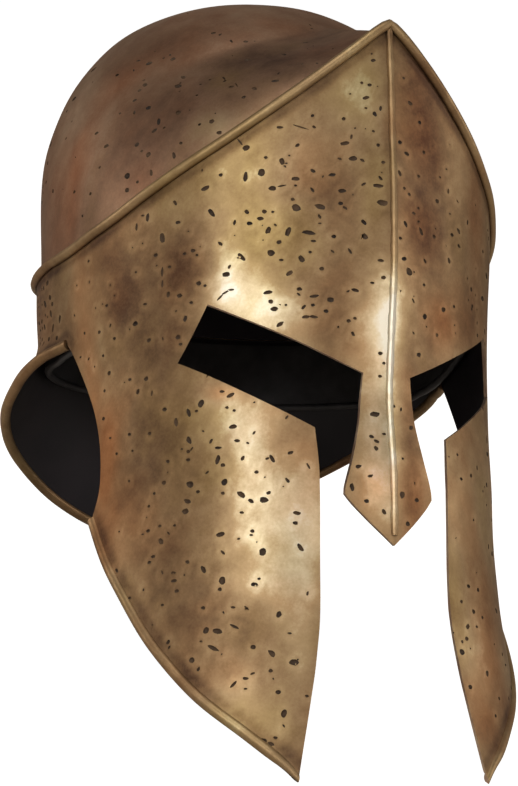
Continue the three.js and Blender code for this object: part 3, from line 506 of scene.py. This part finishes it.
def brass_material(name, ramp, crease_shade_colour, lift=0.0):
    """Antiqued brass. The tone and tint of each place come from the charted tones, patina with painted
    highlights and painted dark reflections among it, broken up by clouds, brush streaks and fine mottling;
    the creases get painted shade and dark places are duller. lift brightens the beads, partly as wear where
    they are rubbed most and partly as a painted highlight."""
    n = Nodes(name)

    def swing(value, amount):
        return n.fade(value, 0.25, 0.75, -amount, amount)
    tone = n.math("ADD", n.new("ShaderNodeAttribute", attribute_name="tone").outputs["Fac"], lift)
    tint = n.new("ShaderNodeAttribute", attribute_name="tint").outputs["Fac"]
    cloud = n.noise(16, 4, 0.55, twist=0.5)
    streak = n.noise(34, 3, 0.6, n.stretched((1.0, 1.0, 0.14), (0.25, 0.0, 0.0)))
    fine = n.noise(120, 4, 0.62)
    speck = n.noise(900, 2, 0.6)
    for part in (swing(cloud, 0.34), swing(streak, 0.22), swing(fine, 0.20), swing(speck, 0.08)):
        tone = n.math("ADD", tone, part)
    level = n.fade(tone, -1.3, 1.3)
    body = n.ramp(level, ramp)
    tint = n.math("ADD", tint, swing(n.noise(24, 3, 0.5, n.stretched((1, 1.4, 0.8), (0.4, 0.2, 0.9))), 0.5))
    body = n.mix(n.fade(tint, 0.0, 1.0, 0.0, 0.75), body, srgb("ffc8a4"), "MULTIPLY")
    body = n.mix(n.fade(tint, 0.0, -1.0, 0.0, 0.70), body, srgb("e2e6a6"), "MULTIPLY")
    # Painted shade: the base colour is darkened in the creases, where the occlusion test finds them close.
    crease = n.new("ShaderNodeAmbientOcclusion", samples=8)
    crease.inputs["Distance"].default_value = 0.005
    body = n.mix(n.fade(crease.outputs["AO"], 0.30, 0.78, 0.9, 0.0), body, crease_shade_colour)
    n.link(body, n.shader.inputs["Base Color"])
    n.link(n.fade(level, 0.42, 0.85, 0.54, 0.45), n.shader.inputs["Roughness"])
    n.shader.inputs["Metallic"].default_value = 0.86
    dents = n.bump(n.noise(42, 2, 0.5), 0.45, 0.0012)
    pores = n.bump(n.noise(420, 3, 0.6), 0.20, 0.0003, dents)
    brush = n.noise(700, 2, 0.6, n.stretched((1.0, 1.0, 0.05), (0.25, 0.0, 0.0)))
    n.link(n.bump(brush, 0.12, 0.0002, pores), n.shader.inputs["Normal"])
    return n.material


def plain_material(name, colours, scale, rough, metallic, bump=0.3, depth=0.0004):
    n = Nodes(name)
    cloud = n.noise(scale, 5, 0.6)
    n.link(n.ramp(cloud, [(0.32, colours[0]), (0.68, colours[1])]), n.shader.inputs["Base Color"])
    n.link(n.fade(cloud, 0.3, 0.7, rough[0], rough[1]), n.shader.inputs["Roughness"])
    n.shader.inputs["Metallic"].default_value = metallic
    n.link(n.bump(n.noise(scale * 12, 3, 0.6), bump, depth), n.shader.inputs["Normal"])
    return n.material


WALL_RAMP = [(0.0, srgb("32241c")), (0.25, srgb("634a36")), (0.48, srgb("987a57")),
             (0.70, srgb("bc9f76")), (0.88, srgb("e2cfaa")), (1.0, srgb("f3ead6"))]
CROWN_RAMP = [(0.0, srgb("33261f")), (0.25, srgb("6a5040")), (0.50, srgb("9c7b61")),
              (0.75, srgb("bfa285")), (1.0, srgb("e0d0b4"))]
brass = brass_material("aged_brass", WALL_RAMP, srgb("2a1a12"))
# The beads and the ridge are lighter: partly wear where they are rubbed, partly a painted highlight along
# them.
brass_bead = brass_material("rubbed_and_highlit_brass", WALL_RAMP, srgb("2a1a12"), 0.40)
brass_ridge = brass_material("worn_and_highlit_ridge_brass", WALL_RAMP, srgb("3a281a"), 0.30)
brass_dark = brass_material("aged_brass_dark", CROWN_RAMP, srgb("22160f"))
inside = plain_material("painted_inside", (srgb("17141a"), srgb("2c2529")), 18, (0.5, 0.65), 0.0)
# The cut edges are lighter: partly wear, partly a painted highlight along them.
bright_edge = plain_material("worn_and_highlit_edge", (srgb("c89c84"), srgb("ecd2b4")), 120, (0.3, 0.42), 0.85)
pit_dark = plain_material("pit_patina", (srgb("20150d"), srgb("664e36")), 160, (0.5, 0.7), 0.35)
leather = plain_material("black_leather", (srgb("0a090b"), srgb("151416")), 60, (0.45, 0.6), 0.0, 0.5)
# The piping is lighter than the leather: a painted highlight along the liner's lower edge.
highlit_piping_leather = plain_material("highlit_piping_leather", (srgb("2c2a2b"), srgb("424041")), 80, (0.35, 0.5), 0.0,
                                depth=0.0003)


# ---------------------------------------------------------------- meshes

def place_object(name, data):
    obj = bpy.data.objects.new(name, data)
    bpy.context.scene.collection.objects.link(obj)
    return obj


def make_object(name, points, faces, indices, materials):
    """A mesh object in standing metres. indices gives each face its material."""
    mesh = bpy.data.meshes.new(name)
    mesh.from_pydata([tuple(p) for p in stand(points)], [], [tuple(f) for f in faces])
    for material in materials:
        mesh.materials.append(material)
    mesh.polygons.foreach_set("material_index", np.asarray(indices, dtype=np.int32))
    mesh.update()
    return place_object(name, mesh)


def ring_faces(rows, count, closed):
    """Quads between rings of points, facing out when the rings climb and turn to the left."""
    r = np.arange(rows if closed else rows - 1)[:, None]
    i = np.arange(count)[None, :]
    here, following = r * count, ((r + 1) % rows) * count
    after = (i + 1) % count
    quads = np.stack(np.broadcast_arrays(here + i, here + after, following + after, following + i), -1)
    return quads.reshape(-1, 4)


def shell_band(name, outer, inner, materials):
    """A closed band from outer rings, lowest first, and inner rings, lowest first."""
    rings = np.concatenate([outer, inner[::-1]])
    rows, count = rings.shape[:2]
    faces = ring_faces(rows, count, True)
    index = np.full(len(faces), INSIDE)
    index[:(len(outer) - 1) * count] = BRASS
    index[(len(outer) - 1) * count:len(outer) * count] = EDGE
    index[-count:] = EDGE
    return make_object(name, rings.reshape(-1, 3), faces, index, materials)


def bar(name, points, radius, sides, closed, materials, index, flat=1.0):
    """A round bar along points. radius may be one number or one for each point."""
    points = np.asarray(points, float)
    count = len(points)
    radius = np.broadcast_to(radius, count)
    if closed:
        along = np.roll(points, -1, axis=0) - np.roll(points, 1, axis=0)
    else:
        along = np.gradient(points, axis=0)
    along /= np.linalg.norm(along, axis=1, keepdims=True)
    away = points - np.array([0, MID_Y, 0])
    away[:, 2] = 0
    out = np.cross(away, along)
    out /= np.linalg.norm(out, axis=1, keepdims=True)
    across = np.cross(along, out)
    angle = 2 * np.pi * np.arange(sides) / sides
    rings = points[:, None] + radius[:, None, None] * (
        out[:, None] * np.cos(angle)[None, :, None] * flat + across[:, None] * np.sin(angle)[None, :, None])
    faces = [tuple(f) for f in ring_faces(count, sides, closed)]
    if not closed:
        faces += [tuple(range(sides))[::-1], tuple(range((count - 1) * sides, count * sides))]
    return make_object(name, rings.reshape(-1, 3), faces, [index] * len(faces), materials)


def prism(name, outline, low, high, axes, materials, index):
    """A flat outline pushed along one axis. axes places the outline's two numbers and the depth."""
    outline = np.asarray(outline, float)
    count = len(outline)
    rings = []
    for depth in (low, high):
        flat = np.column_stack([outline, np.full(count, depth)])
        rings.append(flat[:, axes])
    faces = [tuple(f) for f in ring_faces(2, count, False)]
    faces += [tuple(range(count))[::-1], tuple(range(count, 2 * count))]
    obj = make_object(name, np.concatenate(rings), faces, [index] * len(faces), materials)
    face_out(obj)
    return obj


def face_out(obj):
    """Turns every face outwards."""
    work = bmesh.new()
    work.from_mesh(obj.data)
    bmesh.ops.recalc_face_normals(work, faces=work.faces)
    work.to_mesh(obj.data)
    work.free()


def combine(target, others, operation):
    """Applies booleans in turn and deletes the cutters."""
    for other in others:
        modifier = target.modifiers.new("combine", "BOOLEAN")
        modifier.operation = operation
        modifier.solver = "MANIFOLD"
        modifier.object = other
        bpy.context.view_layer.objects.active = target
        bpy.ops.object.modifier_apply(modifier=modifier.name)
        bpy.data.objects.remove(other, do_unlink=True)


def keep_inside(obj):
    """Clips a piece to the CAD's box: flat feet, and no worked wall a few tenths past it."""
    low, high = (np.array(corner) for corner in cad_box)
    count = len(obj.data.vertices)
    points = np.empty(count * 3)
    obj.data.vertices.foreach_get("co", points)
    points = np.clip(points.reshape(-1, 3), low, high)
    obj.data.vertices.foreach_set("co", points.ravel())
    obj.data.update()


def along_line(points, line, near, width, tone):
    """A tone along a line of points, strongest at one distance from it."""
    tree = KDTree(len(line))
    for i, place in enumerate(stand(line)):
        tree.insert(place, i)
    tree.balance()
    away = np.array([tree.find(point)[2] for point in points]) / MM
    return tone * np.exp(-0.5 * ((away - near) / width) ** 2)


def paint_tones(obj, centres, table, lines=()):
    """Writes the charted tones to the mesh as tone and tint: patina with painted highlights and painted dark
    reflections, with painted shade beside the beads and a painted highlight as a paler rim round the pits."""
    count = len(obj.data.vertices)
    points = np.empty(count * 3)
    obj.data.vertices.foreach_get("co", points)
    points = points.reshape(-1, 3)
    totals = np.zeros((2, count))
    lean = math.cos(LEAN), math.sin(LEAN)
    up = np.array([0, -lean[1], lean[0]])
    for centre, (_, _, across, high, tone, tint) in zip(stand(centres), table):
        away = (points - centre) / MM
        rise = away @ up
        level = np.sqrt(np.maximum((away ** 2).sum(1) - rise ** 2, 0))
        share = np.exp(-0.5 * ((level / across) ** 2 + (rise / high) ** 2))
        totals += share * np.array([[tone], [tint]])
    for line in lines:
        totals[0] += along_line(points, *line)
    for name, values in zip(("tone", "tint"), totals):
        layer = obj.data.attributes.new(name, "FLOAT", "POINT")
        layer.data.foreach_set("value", values.astype(np.float32))


def shade(obj, angle=32):
    """Smooth shading with sharp edges past the angle."""
    mesh = obj.data
    mesh.polygons.foreach_set("use_smooth", [True] * len(mesh.polygons))
    mesh.set_sharp_from_angle(angle=math.radians(angle))


def spline(points, step):
    """A rounded curve through the points, at about this spacing."""
    points = np.asarray(points, float)
    padded = np.vstack([2 * points[0] - points[1], points, 2 * points[-1] - points[-2]])
    result = []
    for a, b, c, d in zip(padded, padded[1:], padded[2:], padded[3:]):
        count = max(int(np.linalg.norm(c - b) / step), 1)
        for t in np.arange(count) / count:
            result.append(0.5 * (2 * b + (c - a) * t + (2 * a - 5 * b + 4 * c - d) * t * t
                                 + (3 * b - a - 3 * c + d) * t ** 3))
    result.append(points[-1])
    return np.array(result)


# ---------------------------------------------------------------- face and neck shell

METAL = [brass, inside, bright_edge, pit_dark, brass_bead, brass_ridge]
METAL_DARK = [brass_dark, inside, bright_edge, pit_dark]
# Degrees between points in front and behind, then rows below and above the notches' height.
SHELL_STEPS = (0.66, 1.2)
RIB_STEPS = (0.8, 1.0)
OUTER_ROWS = (74, 66)
INNER_ROWS = (12, 9)
BEAD_SIDES = 12
RIDGE_SIDES = 10
# How far the cutters reach: below, to each side, and from in front of the face to behind it.
CUT_LOW = -260
CUT_SIDE = 150
CUT_FRONT = -200
CUT_BACK = -20
# The top of the cut under the neck guard, y and z in the side view.
NOTCH_TOP = [(32, -12), (24, -4.5), (17, -1.2)]
# Spacing of the points along the curves, in mm.
NASAL_STEP = 1.5
EAR_STEP = 2.0
EDGE_STEP = 3.0
RIM_STEP = 1.5
RIDGE_STEP = 1.5
HALVINGS = 40
NECK_START = 86
RIDGE_TOP = 127
RIDGE_CLEAR = 2.5
# Waves in the ridge's thickness: size, pace and start.
RIDGE_WAVES = [(0.12, 0.41, 0), (0.08, 1.13, 1)]
# Pits: growth over the charted size, rings and sides, depth (mm, share of the width, most), its spread
# and the unevenness of the outline.
FACE_PIT_GROWTH = 1.18
CROWN_PIT_GROWTH = 1.4
PIT_RINGS = 4
PIT_SIDES = 10
PIT_DEPTH = 0.28
PIT_DEPTH_SHARE = 0.22
PIT_DEEPEST = 0.75
PIT_DEPTH_SPREAD = (0.8, 1.15)
PIT_LUMPS = 0.14
# Seeded pits: turns that the charted pits cover, how many fill the rest and how many small ones go
# between the charted ones, widths, lengths over widths, tilts, and how far they keep apart.
CHARTED = (-88, 36)
CHEEK_PIT_LOW = -165
FACE_COUNTS = (470, 170)
CROWN_COUNTS = (190, 60)
PIT_WIDTHS = [1.0, 1.2, 1.5, 1.9]
SMALL_WIDTHS = [0.45, 0.6, 0.75]
PIT_RATIOS = [1.1, 1.4, 1.7, 2.2]
PIT_TILTS = [0, 10, 20, -20, -40, -60, 60, 85]
PIT_REACH = 0.6
PIT_GAP = 0.8
# Distance in mm at which a line of tone is strongest, its width, and its tone: painted shade beside the rib
# and the rims, and a painted highlight round the pits.
RIB_SHADE_TONE = (4.2, 1.4, -0.50)
RIM_SHADE_TONE = (4.0, 1.6, -0.50)
PIT_HIGHLIGHT_TONE = (1.9, 0.7, 0.22)


def full_ring(front_step, back_step):
    """Turns all the way round, from -180, finer in front."""
    front = np.linspace(0, 90, int(90 / front_step), endpoint=False)
    back = np.linspace(90, 180, int(90 / back_step) + 1)
    half = np.concatenate([front, back])
    return np.concatenate([-half[1:][::-1], half[:-1]])


def band_foot(turn):
    away = np.abs(turn)
    return np.where(away < NOTCH_TURN, WALL[0, 0], neck_height(away))


def wall_shell():
    turns = full_ring(*SHELL_STEPS)
    foot, top = band_foot(turns), rib_height(np.abs(turns))

    def rings(low_count, high_count, depth):
        low = foot + (NOTCH_Z - foot) * np.linspace(0, 1, low_count, endpoint=False)[:, None]
        high = NOTCH_Z + (top - NOTCH_Z) * np.linspace(0, 1, high_count)[:, None]
        return wall(turns[None, :], np.concatenate([low, high]), depth)
    return shell_band("face_shell", rings(*OUTER_ROWS, 0.0), rings(*INNER_ROWS, SHEET), METAL)


def side_cutter():
    ear = list(spline(EAR_EDGE, EAR_STEP))
    cheek = list(spline(CHEEK_EDGE, EDGE_STEP))[1:]
    outline = [(NOTCH_TOP[0][0], CUT_LOW), *NOTCH_TOP, *ear, *cheek, (CHEEK_EDGE[-1][0], CUT_LOW)]
    return prism("side_cutter", outline, -CUT_SIDE, CUT_SIDE, [2, 0, 1], METAL, EDGE)


def face_cutter(name):
    outline = [*spline(NASAL, NASAL_STEP), *spline(EYE_TOP, EDGE_STEP)[1:],
               *spline(EYE_LOW, EDGE_STEP), *spline(CHEEK_FRONT, EDGE_STEP)[1:]]
    outline = [tuple(p) for p in outline]
    left = [(-x, z) for x, z in outline[1:]][::-1]
    floor = [(outline[-1][0], CUT_LOW), (-outline[-1][0], CUT_LOW)]
    return prism(name, [*outline, *floor, *left], CUT_FRONT, CUT_BACK, [0, 2, 1], METAL, EDGE)


def wall_at_side(y, z, side):
    """The turn at which the wall shows at a point of the side view."""
    low, high = np.zeros(len(y)), np.full(len(y), 180.0)
    for _ in range(HALVINGS):
        middle = (low + high) / 2
        ahead = wall_smooth(middle, z)[..., 1] < y
        low, high = np.where(ahead, middle, low), np.where(ahead, high, middle)
    return wall(side * low, z, SHEET / 2)


def rib_line():
    turns = full_ring(*RIB_STEPS)
    return wall(turns, rib_height(np.abs(turns)) - RIB_RADIUS / 2, -RIB_PROUD)


def rib_bar():
    return bar("rib", rib_line(), RIB_RADIUS, BEAD_SIDES, True, METAL, BEAD)


def neck_line():
    turns = np.arange(NECK_START, 360 - NECK_START + 0.5)
    signed = np.where(turns > 180, turns - 360, turns)
    return wall(signed, neck_height(np.abs(signed)), SHEET / 2)


def neck_rim():
    return bar("neck_rim", neck_line(), RIM_RADIUS, BEAD_SIDES, False, METAL, BEAD)


def cheek_line(side):
    edge = spline(CHEEK_EDGE, RIM_STEP)
    return wall_at_side(edge[:, 0], edge[:, 1], side)


def cheek_rim(side):
    """The rim of one cheek plate. It narrows to the tip."""
    points = cheek_line(side)
    narrowed = smooth(np.linspace(0, 1, len(points)), TIP_START, 1)
    radius = RIM_RADIUS * (1 - (1 - TIP_SCALE) * narrowed)
    rim = bar("cheek_rim", points, radius, BEAD_SIDES, False, METAL, BEAD)
    combine(rim, [face_cutter("rim_trim")], "DIFFERENCE")
    return rim


def centre_ridge():
    z = np.arange(RIDGE_TOP, NASAL[0][1] + RIDGE_CLEAR, -RIDGE_STEP)
    wobble = sum(size * np.sin(z * pace + start) for size, pace, start in RIDGE_WAVES)
    return bar("ridge", wall(0 * z, z), RIDGE_RADIUS + wobble, RIDGE_SIDES, False, METAL, RIDGE)


def pit_cutters(name, surface, normal_at, places, seed, materials, growth):
    """Many small flattened ellipsoids sunk into the surface, as one mesh."""
    draw = random.Random(seed)
    rings, sides = PIT_RINGS, PIT_SIDES
    points, faces = [], []
    for turn, height, long, wide, *tilt in places:
        spin = math.radians(sum(tilt))
        centre = surface(turn, height)
        normal = normal_at(turn, height)
        sideways = np.cross([0, 0, 1], normal)
        sideways /= np.linalg.norm(sideways)
        upward = np.cross(normal, sideways)
        long, wide = growth * long, growth * wide
        depth = min(PIT_DEPTH + PIT_DEPTH_SHARE * wide, PIT_DEEPEST) * draw.uniform(*PIT_DEPTH_SPREAD)
        major = math.cos(spin) * sideways + math.sin(spin) * upward
        minor = -math.sin(spin) * sideways + math.cos(spin) * upward
        lumps = [1 + draw.uniform(-PIT_LUMPS, PIT_LUMPS) for _ in range(sides)]
        first = len(points)
        points.append(centre - normal * depth)
        for ring in range(1, rings + 1):
            polar = math.pi * ring / (rings + 1)
            for k in range(sides):
                angle = 2 * math.pi * k / sides
                spread = math.sin(polar) * lumps[k]
                points.append(centre - normal * depth * math.cos(polar)
                              + major * long / 2 * spread * math.cos(angle)
                              + minor * wide / 2 * spread * math.sin(angle))
        points.append(centre + normal * depth)
        last = len(points) - 1
        for k in range(sides):
            following = (k + 1) % sides
            faces.append((first, first + 1 + following, first + 1 + k))
            for ring in range(rings - 1):
                base = first + 1 + ring * sides
                faces.append((base + k, base + following, base + sides + following, base + sides + k))
            base = first + 1 + (rings - 1) * sides
            faces.append((base + k, base + following, last))
    cutter = make_object(name, np.array(points), faces, [PIT] * len(faces), materials)
    face_out(cutter)
    return cutter


def scatter(count, seed, draw_place, surface, widths):
    """Seeded pit places that keep off each other."""
    draw = random.Random(seed)
    places, points = [], []
    while len(places) < count:
        turn, height = draw_place(draw)
        point = surface(turn, height)
        wide = draw.choice(widths)
        long = wide * draw.choice(PIT_RATIOS)
        reach = long * PIT_REACH
        if all(np.linalg.norm(point - other) > taken + reach + PIT_GAP for other, taken in points):
            points.append((point, reach))
            places.append((turn, height, long, wide, draw.choice(PIT_TILTS)))
    return places


def fill_in(counts, seed, last_turn, span, surface):
    """Seeded pits: ordinary ones on the side that was not charted, and small ones on the other."""
    def drawer(charted):
        def draw_place(draw):
            while True:
                turn = draw.uniform(-last_turn, last_turn)
                if (CHARTED[0] < turn < CHARTED[1]) == charted:
                    return turn, draw.uniform(*span(turn))
        return draw_place
    return (scatter(counts[0], seed, drawer(False), surface, PIT_WIDTHS)
            + scatter(counts[1], seed + 1, drawer(True), surface, SMALL_WIDTHS))


def face_span(turn):
    """The lowest and highest z of a seeded pit."""
    low = band_foot(turn) if abs(turn) >= NOTCH_TURN else CHEEK_PIT_LOW
    return low + 6, float(rib_height(abs(turn))) - 7


def crown_span(turn):
    """The lowest and highest climb of a seeded pit."""
    return 0.08, 0.93


def crown_climb(turn, z):
    foot = crown_seat(turn, RIB_RADIUS / 2)[..., 2]
    return np.arcsin(np.clip((z - foot) / (CROWN["top"] - foot), 0, 1)) * 2 / np.pi


def build_shell():
    shell = wall_shell()
    combine(shell, [side_cutter(), face_cutter("face_cutter")], "DIFFERENCE")
    combine(shell, [cheek_rim(-1), cheek_rim(1), rib_bar(), centre_ridge(), neck_rim()], "UNION")
    places = [*FOREHEAD_PITS, *TEMPLE_PITS, *CHEEK_PITS, *NASAL_PITS]
    places += fill_in(FACE_COUNTS, SEED, 178, face_span, wall)
    cutter = pit_cutters("pits", wall, wall_normal, places, SEED + 2, METAL, FACE_PIT_GROWTH)
    combine(shell, [cutter], "DIFFERENCE")
    keep_inside(shell)
    rims = [cheek_line(-1), cheek_line(1), neck_line()]
    pits = np.array([wall(turn, height) for turn, height, *_ in places])
    # Painted shade beside the rib and the rims, and a painted highlight round the pits.
    lines = [(rib_line(), *RIB_SHADE_TONE), (np.concatenate(rims), *RIM_SHADE_TONE), (pits, *PIT_HIGHLIGHT_TONE)]
    paint_tones(shell, wall(FACE_TONES[:, 0], FACE_TONES[:, 1]), FACE_TONES, lines)
    shade(shell)
    return shell


# ---------------------------------------------------------------- crown

CROWN_STEPS = (0.9, 0.9)
CROWN_ROWS = 110
INNER_SKIP = 6
LAST_CLIMB = 0.985
# The inner face is set in towards a point on the axis at this height, by this much more than the sheet.
CROWN_MIDDLE = 30
CROWN_EXTRA = 1.15
# The crown's unevenness fades in between these heights.
UNEVEN_FROM = 30
UNEVEN_FULL = 60


def build_crown():
    turns = full_ring(*CROWN_STEPS)
    climbs = LAST_CLIMB * np.linspace(0, 1, CROWN_ROWS)

    def rings(steps):
        lap = crown_seat(turns, -CROWN["lap"])[None]
        climb = crown(turns[None, :], steps[:, None])
        grid = np.concatenate([lap, climb])
        out = grid - np.array([0, CROWN["centre"], CROWN_MIDDLE])
        out /= np.linalg.norm(out, axis=-1, keepdims=True)
        fade = smooth(grid[..., 2:], UNEVEN_FROM, UNEVEN_FULL)
        return grid + out * uneven(grid)[..., None] * fade, out
    outer, _ = rings(climbs)
    sparse, out = rings(climbs[::INNER_SKIP])
    inner = sparse - out * SHEET * CROWN_EXTRA
    count = len(turns)
    points = np.concatenate([outer.reshape(-1, 3), inner.reshape(-1, 3)])
    start = outer.shape[0] * count
    faces = [tuple(f) for f in ring_faces(outer.shape[0], count, False)]
    index = [BRASS] * len(faces)
    inside_faces = [tuple(f[::-1] + start) for f in ring_faces(inner.shape[0], count, False)]
    faces += inside_faces
    index += [INSIDE] * len(inside_faces)
    top, inner_top = start - count, start + (inner.shape[0] - 1) * count
    faces.append(tuple(range(top, top + count)))
    faces.append(tuple(range(inner_top, inner_top + count))[::-1])
    for i in range(count):
        j = (i + 1) % count
        faces.append((i, start + i, start + j, j))
    index += [BRASS, INSIDE] + [EDGE] * count
    dome = make_object("crown", points, faces, index, METAL_DARK)
    places = [(turn, float(crown_climb(turn, z)), *rest) for turn, z, *rest in CROWN_PITS]
    places += fill_in(CROWN_COUNTS, SEED + 3, 179, crown_span, crown)
    cutter = pit_cutters("crown_pits", crown, crown_normal, places, SEED + 5, METAL_DARK, CROWN_PIT_GROWTH)
    combine(dome, [cutter], "DIFFERENCE")
    keep_inside(dome)
    centres = crown(CROWN_TONES[:, 0], crown_climb(CROWN_TONES[:, 0], CROWN_TONES[:, 1]))
    paint_tones(dome, centres, CROWN_TONES)
    shade(dome)
    return dome


# ---------------------------------------------------------------- liner

LINER_STEPS = (1.5, 1.5)
LINER_ROWS = 16
# Height and number of the ripples round the leather, and how much thinner the piping is than its seat.
RIPPLE = 0.18
RIPPLES = 23
PIPE_SLACK = 0.1


def liner_foot(turn):
    """The liner's lower edge, higher in front."""
    return LINER["low"] + (LINER["front_low"] - LINER["low"]) * smooth(np.cos(np.radians(turn)), -0.1, 0.5)


def liner_point(turn, z, depth):
    """A point inside the wall. Below the flare it hangs straight down."""
    above = np.maximum(z, FLARE_TOP)
    inset = np.asarray(SHEET + depth)[..., None]
    point = wall_smooth(turn, above) - wall_normal(turn, above) * inset
    point[..., 2] = z
    return point


def build_liner():
    turns = full_ring(*LINER_STEPS)
    foot = liner_foot(turns)
    share = np.linspace(0, 1, LINER_ROWS)[:, None]
    heights = foot + (LINER["top"] - foot) * share
    ripple = RIPPLE * np.sin(np.radians(turns) * RIPPLES) * np.sin(share * np.pi)
    outer = liner_point(turns[None, :], heights, LINER["clear"] + ripple)
    inner = liner_point(turns[None, :], heights, LINER["clear"] + LINER["thick"] + ripple)
    leathers = [leather, leather, leather, highlit_piping_leather]
    band = shell_band("liner", outer, inner, leathers)
    piping = liner_point(turns, foot, LINER["clear"] + LINER["pipe"])
    pipe = bar("pipe", piping, LINER["pipe"] - PIPE_SLACK, BEAD_SIDES, True, leathers, PIT)
    combine(band, [pipe], "UNION")
    keep_inside(band)
    shade(band)
    return band


# ---------------------------------------------------------------- camera, light and floor

# Radians, and millimetres in the worn frame, from a least-squares fit to points read off the photo.
CAMERA_TURN = 0.480010
CAMERA_RISE = -0.147122
CAMERA_ROLL = 0.024921
CAMERA_AWAY = 949.96
CAMERA_ASIDE = 6.40
CAMERA_UP = 11.80
FOCAL_PIXELS = 2192.8
IMAGE_WIDTH = 518
SENSOR = 36.0
CLIP_END = 50
STUDIO_LOW = (0.20, 0.17, 0.145)
STUDIO_HIGH = (0.05, 0.048, 0.05)
FLOOR_GLOW = 0.97


def lean_vector(v):
    c, s = math.cos(LEAN), math.sin(LEAN)
    return Vector((v[0], c * v[1] - s * v[2], s * v[1] + c * v[2]))


def add_camera():
    a, e, roll = CAMERA_TURN, CAMERA_RISE, CAMERA_ROLL
    ahead = np.array([math.sin(a) * math.cos(e), math.cos(a) * math.cos(e), -math.sin(e)])
    level = np.array([math.cos(a), -math.sin(a), 0.0])
    above = np.cross(level, ahead)
    right = math.cos(roll) * level + math.sin(roll) * above
    up = -math.sin(roll) * level + math.cos(roll) * above
    place = -CAMERA_AWAY * ahead - CAMERA_ASIDE * right - CAMERA_UP * up
    data = bpy.data.cameras.new("camera")
    data.sensor_fit = "HORIZONTAL"
    data.sensor_width = SENSOR
    data.lens = FOCAL_PIXELS * SENSOR / IMAGE_WIDTH
    data.clip_end = CLIP_END
    camera = place_object("camera", data)
    columns = [lean_vector(v) for v in (right, up, -ahead)]
    turn = Matrix([[columns[c][r] for c in range(3)] for r in range(3)]).to_4x4()
    camera.matrix_world = Matrix.Translation(Vector(stand(place))) @ turn
    bpy.context.scene.camera = camera


def add_light(name, place, target, size, power, colour=(1, 1, 1)):
    data = bpy.data.lights.new(name, "AREA")
    data.shape = "RECTANGLE"
    data.size, data.size_y = size
    data.energy = power
    data.color = colour
    light = place_object(name, data)
    light.location = place
    light.rotation_euler = (Vector(target) - Vector(place)).to_track_quat("-Z", "Y").to_euler()


def by_ray(tree, lit, seen, output):
    """Shows one shader to the camera and another in the reflections."""
    path, mix = tree.nodes.new("ShaderNodeLightPath"), tree.nodes.new("ShaderNodeMixShader")
    tree.links.new(path.outputs["Is Camera Ray"], mix.inputs["Fac"])
    tree.links.new(lit, mix.inputs[1])
    tree.links.new(seen, mix.inputs[2])
    tree.links.new(mix.outputs["Shader"], output.inputs["Surface"])


def add_world():
    """White where the camera sees it, and a dim studio, paler towards the floor, in the reflections."""
    world = bpy.data.worlds.new("world")
    world.use_nodes = True
    bpy.context.scene.world = world
    tree = world.node_tree
    tree.nodes.clear()
    new, link = tree.nodes.new, tree.links.new
    output, seen, lit = new("ShaderNodeOutputWorld"), new("ShaderNodeBackground"), new("ShaderNodeBackground")
    seen.inputs["Color"].default_value = (1, 1, 1, 1)
    coords, split, lift, ramp = (new("ShaderNodeTexCoord"), new("ShaderNodeSeparateXYZ"),
                                 new("ShaderNodeMapRange"), new("ShaderNodeValToRGB"))
    for place, colour in zip(ramp.color_ramp.elements, (STUDIO_LOW, STUDIO_HIGH)):
        place.color = (*colour, 1)
    ramp.color_ramp.elements[0].position = 0.42
    lift.inputs["From Min"].default_value = -1
    link(coords.outputs["Generated"], split.inputs["Vector"])
    link(split.outputs["Z"], lift.inputs["Value"])
    link(lift.outputs["Result"], ramp.inputs["Fac"])
    link(ramp.outputs["Color"], lit.inputs["Color"])
    by_ray(tree, lit.outputs["Background"], seen.outputs["Background"], output)


def floor_material():
    """Bright white paper to the camera, and an ordinary pale floor in the metal's reflections."""
    n = Nodes("pale_floor")
    n.shader.inputs["Base Color"].default_value = (*srgb("c9c2b8"), 1)
    n.shader.inputs["Roughness"].default_value = 0.9
    glow, both = n.new("ShaderNodeEmission"), n.new("ShaderNodeAddShader")
    glow.inputs["Strength"].default_value = FLOOR_GLOW
    n.link(n.shader.outputs["BSDF"], both.inputs[0])
    n.link(glow.outputs["Emission"], both.inputs[1])
    by_ray(n.tree, n.shader.outputs["BSDF"], both.outputs["Shader"], n.tree.nodes["Material Output"])
    return n.material


def add_floor():
    mesh = bpy.data.meshes.new("floor")
    reach = 60.0
    corners = [(reach * x, reach * y, 0) for x, y in ((-1, -1), (1, -1), (1, 1), (-1, 1))]
    mesh.from_pydata(corners, [], [(0, 1, 2, 3)])
    mesh.materials.append(floor_material())
    floor = place_object("floor", mesh)


add_camera()
add_world()
add_floor()
bpy.context.scene.view_settings.view_transform = "Standard"
TARGET = (0, -0.02, 0.14)
# name, turn round the helmet, height above level, distance, size, power, colour
LIGHTS = [
    ("key", -52, 26, 2.0, (1.2, 0.7), 11, (1.0, 0.99, 0.98)),
    ("front", 4, 26, 2.2, (0.3, 0.4), 6, (1.0, 0.98, 0.96)),
    ("right", 66, 24, 2.0, (0.5, 0.9), 7, (1.0, 0.97, 0.94)),
    ("left", -118, 4, 2.2, (0.8, 1.0), 8, (1.0, 0.96, 0.92)),
    ("top", -60, 75, 2.2, (1.2, 1.2), 12, (1.0, 0.98, 0.96)),
]
for label, turn, rise, away, size, power, colour in LIGHTS:
    turn, rise = math.radians(turn), math.radians(rise)
    place = (away * math.sin(turn) * math.cos(rise),
             -away * math.cos(turn) * math.cos(rise),
             TARGET[2] + away * math.sin(rise))
    add_light(label, place, TARGET, size, power, colour)

face_shell = build_shell()
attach(face_shell, "root")
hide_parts("face_and_neck_shell")

crown_piece = build_crown()
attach(crown_piece, "root")
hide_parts("crown_bowl")

liner_piece = build_liner()
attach(liner_piece, "root")
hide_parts("liner_band")
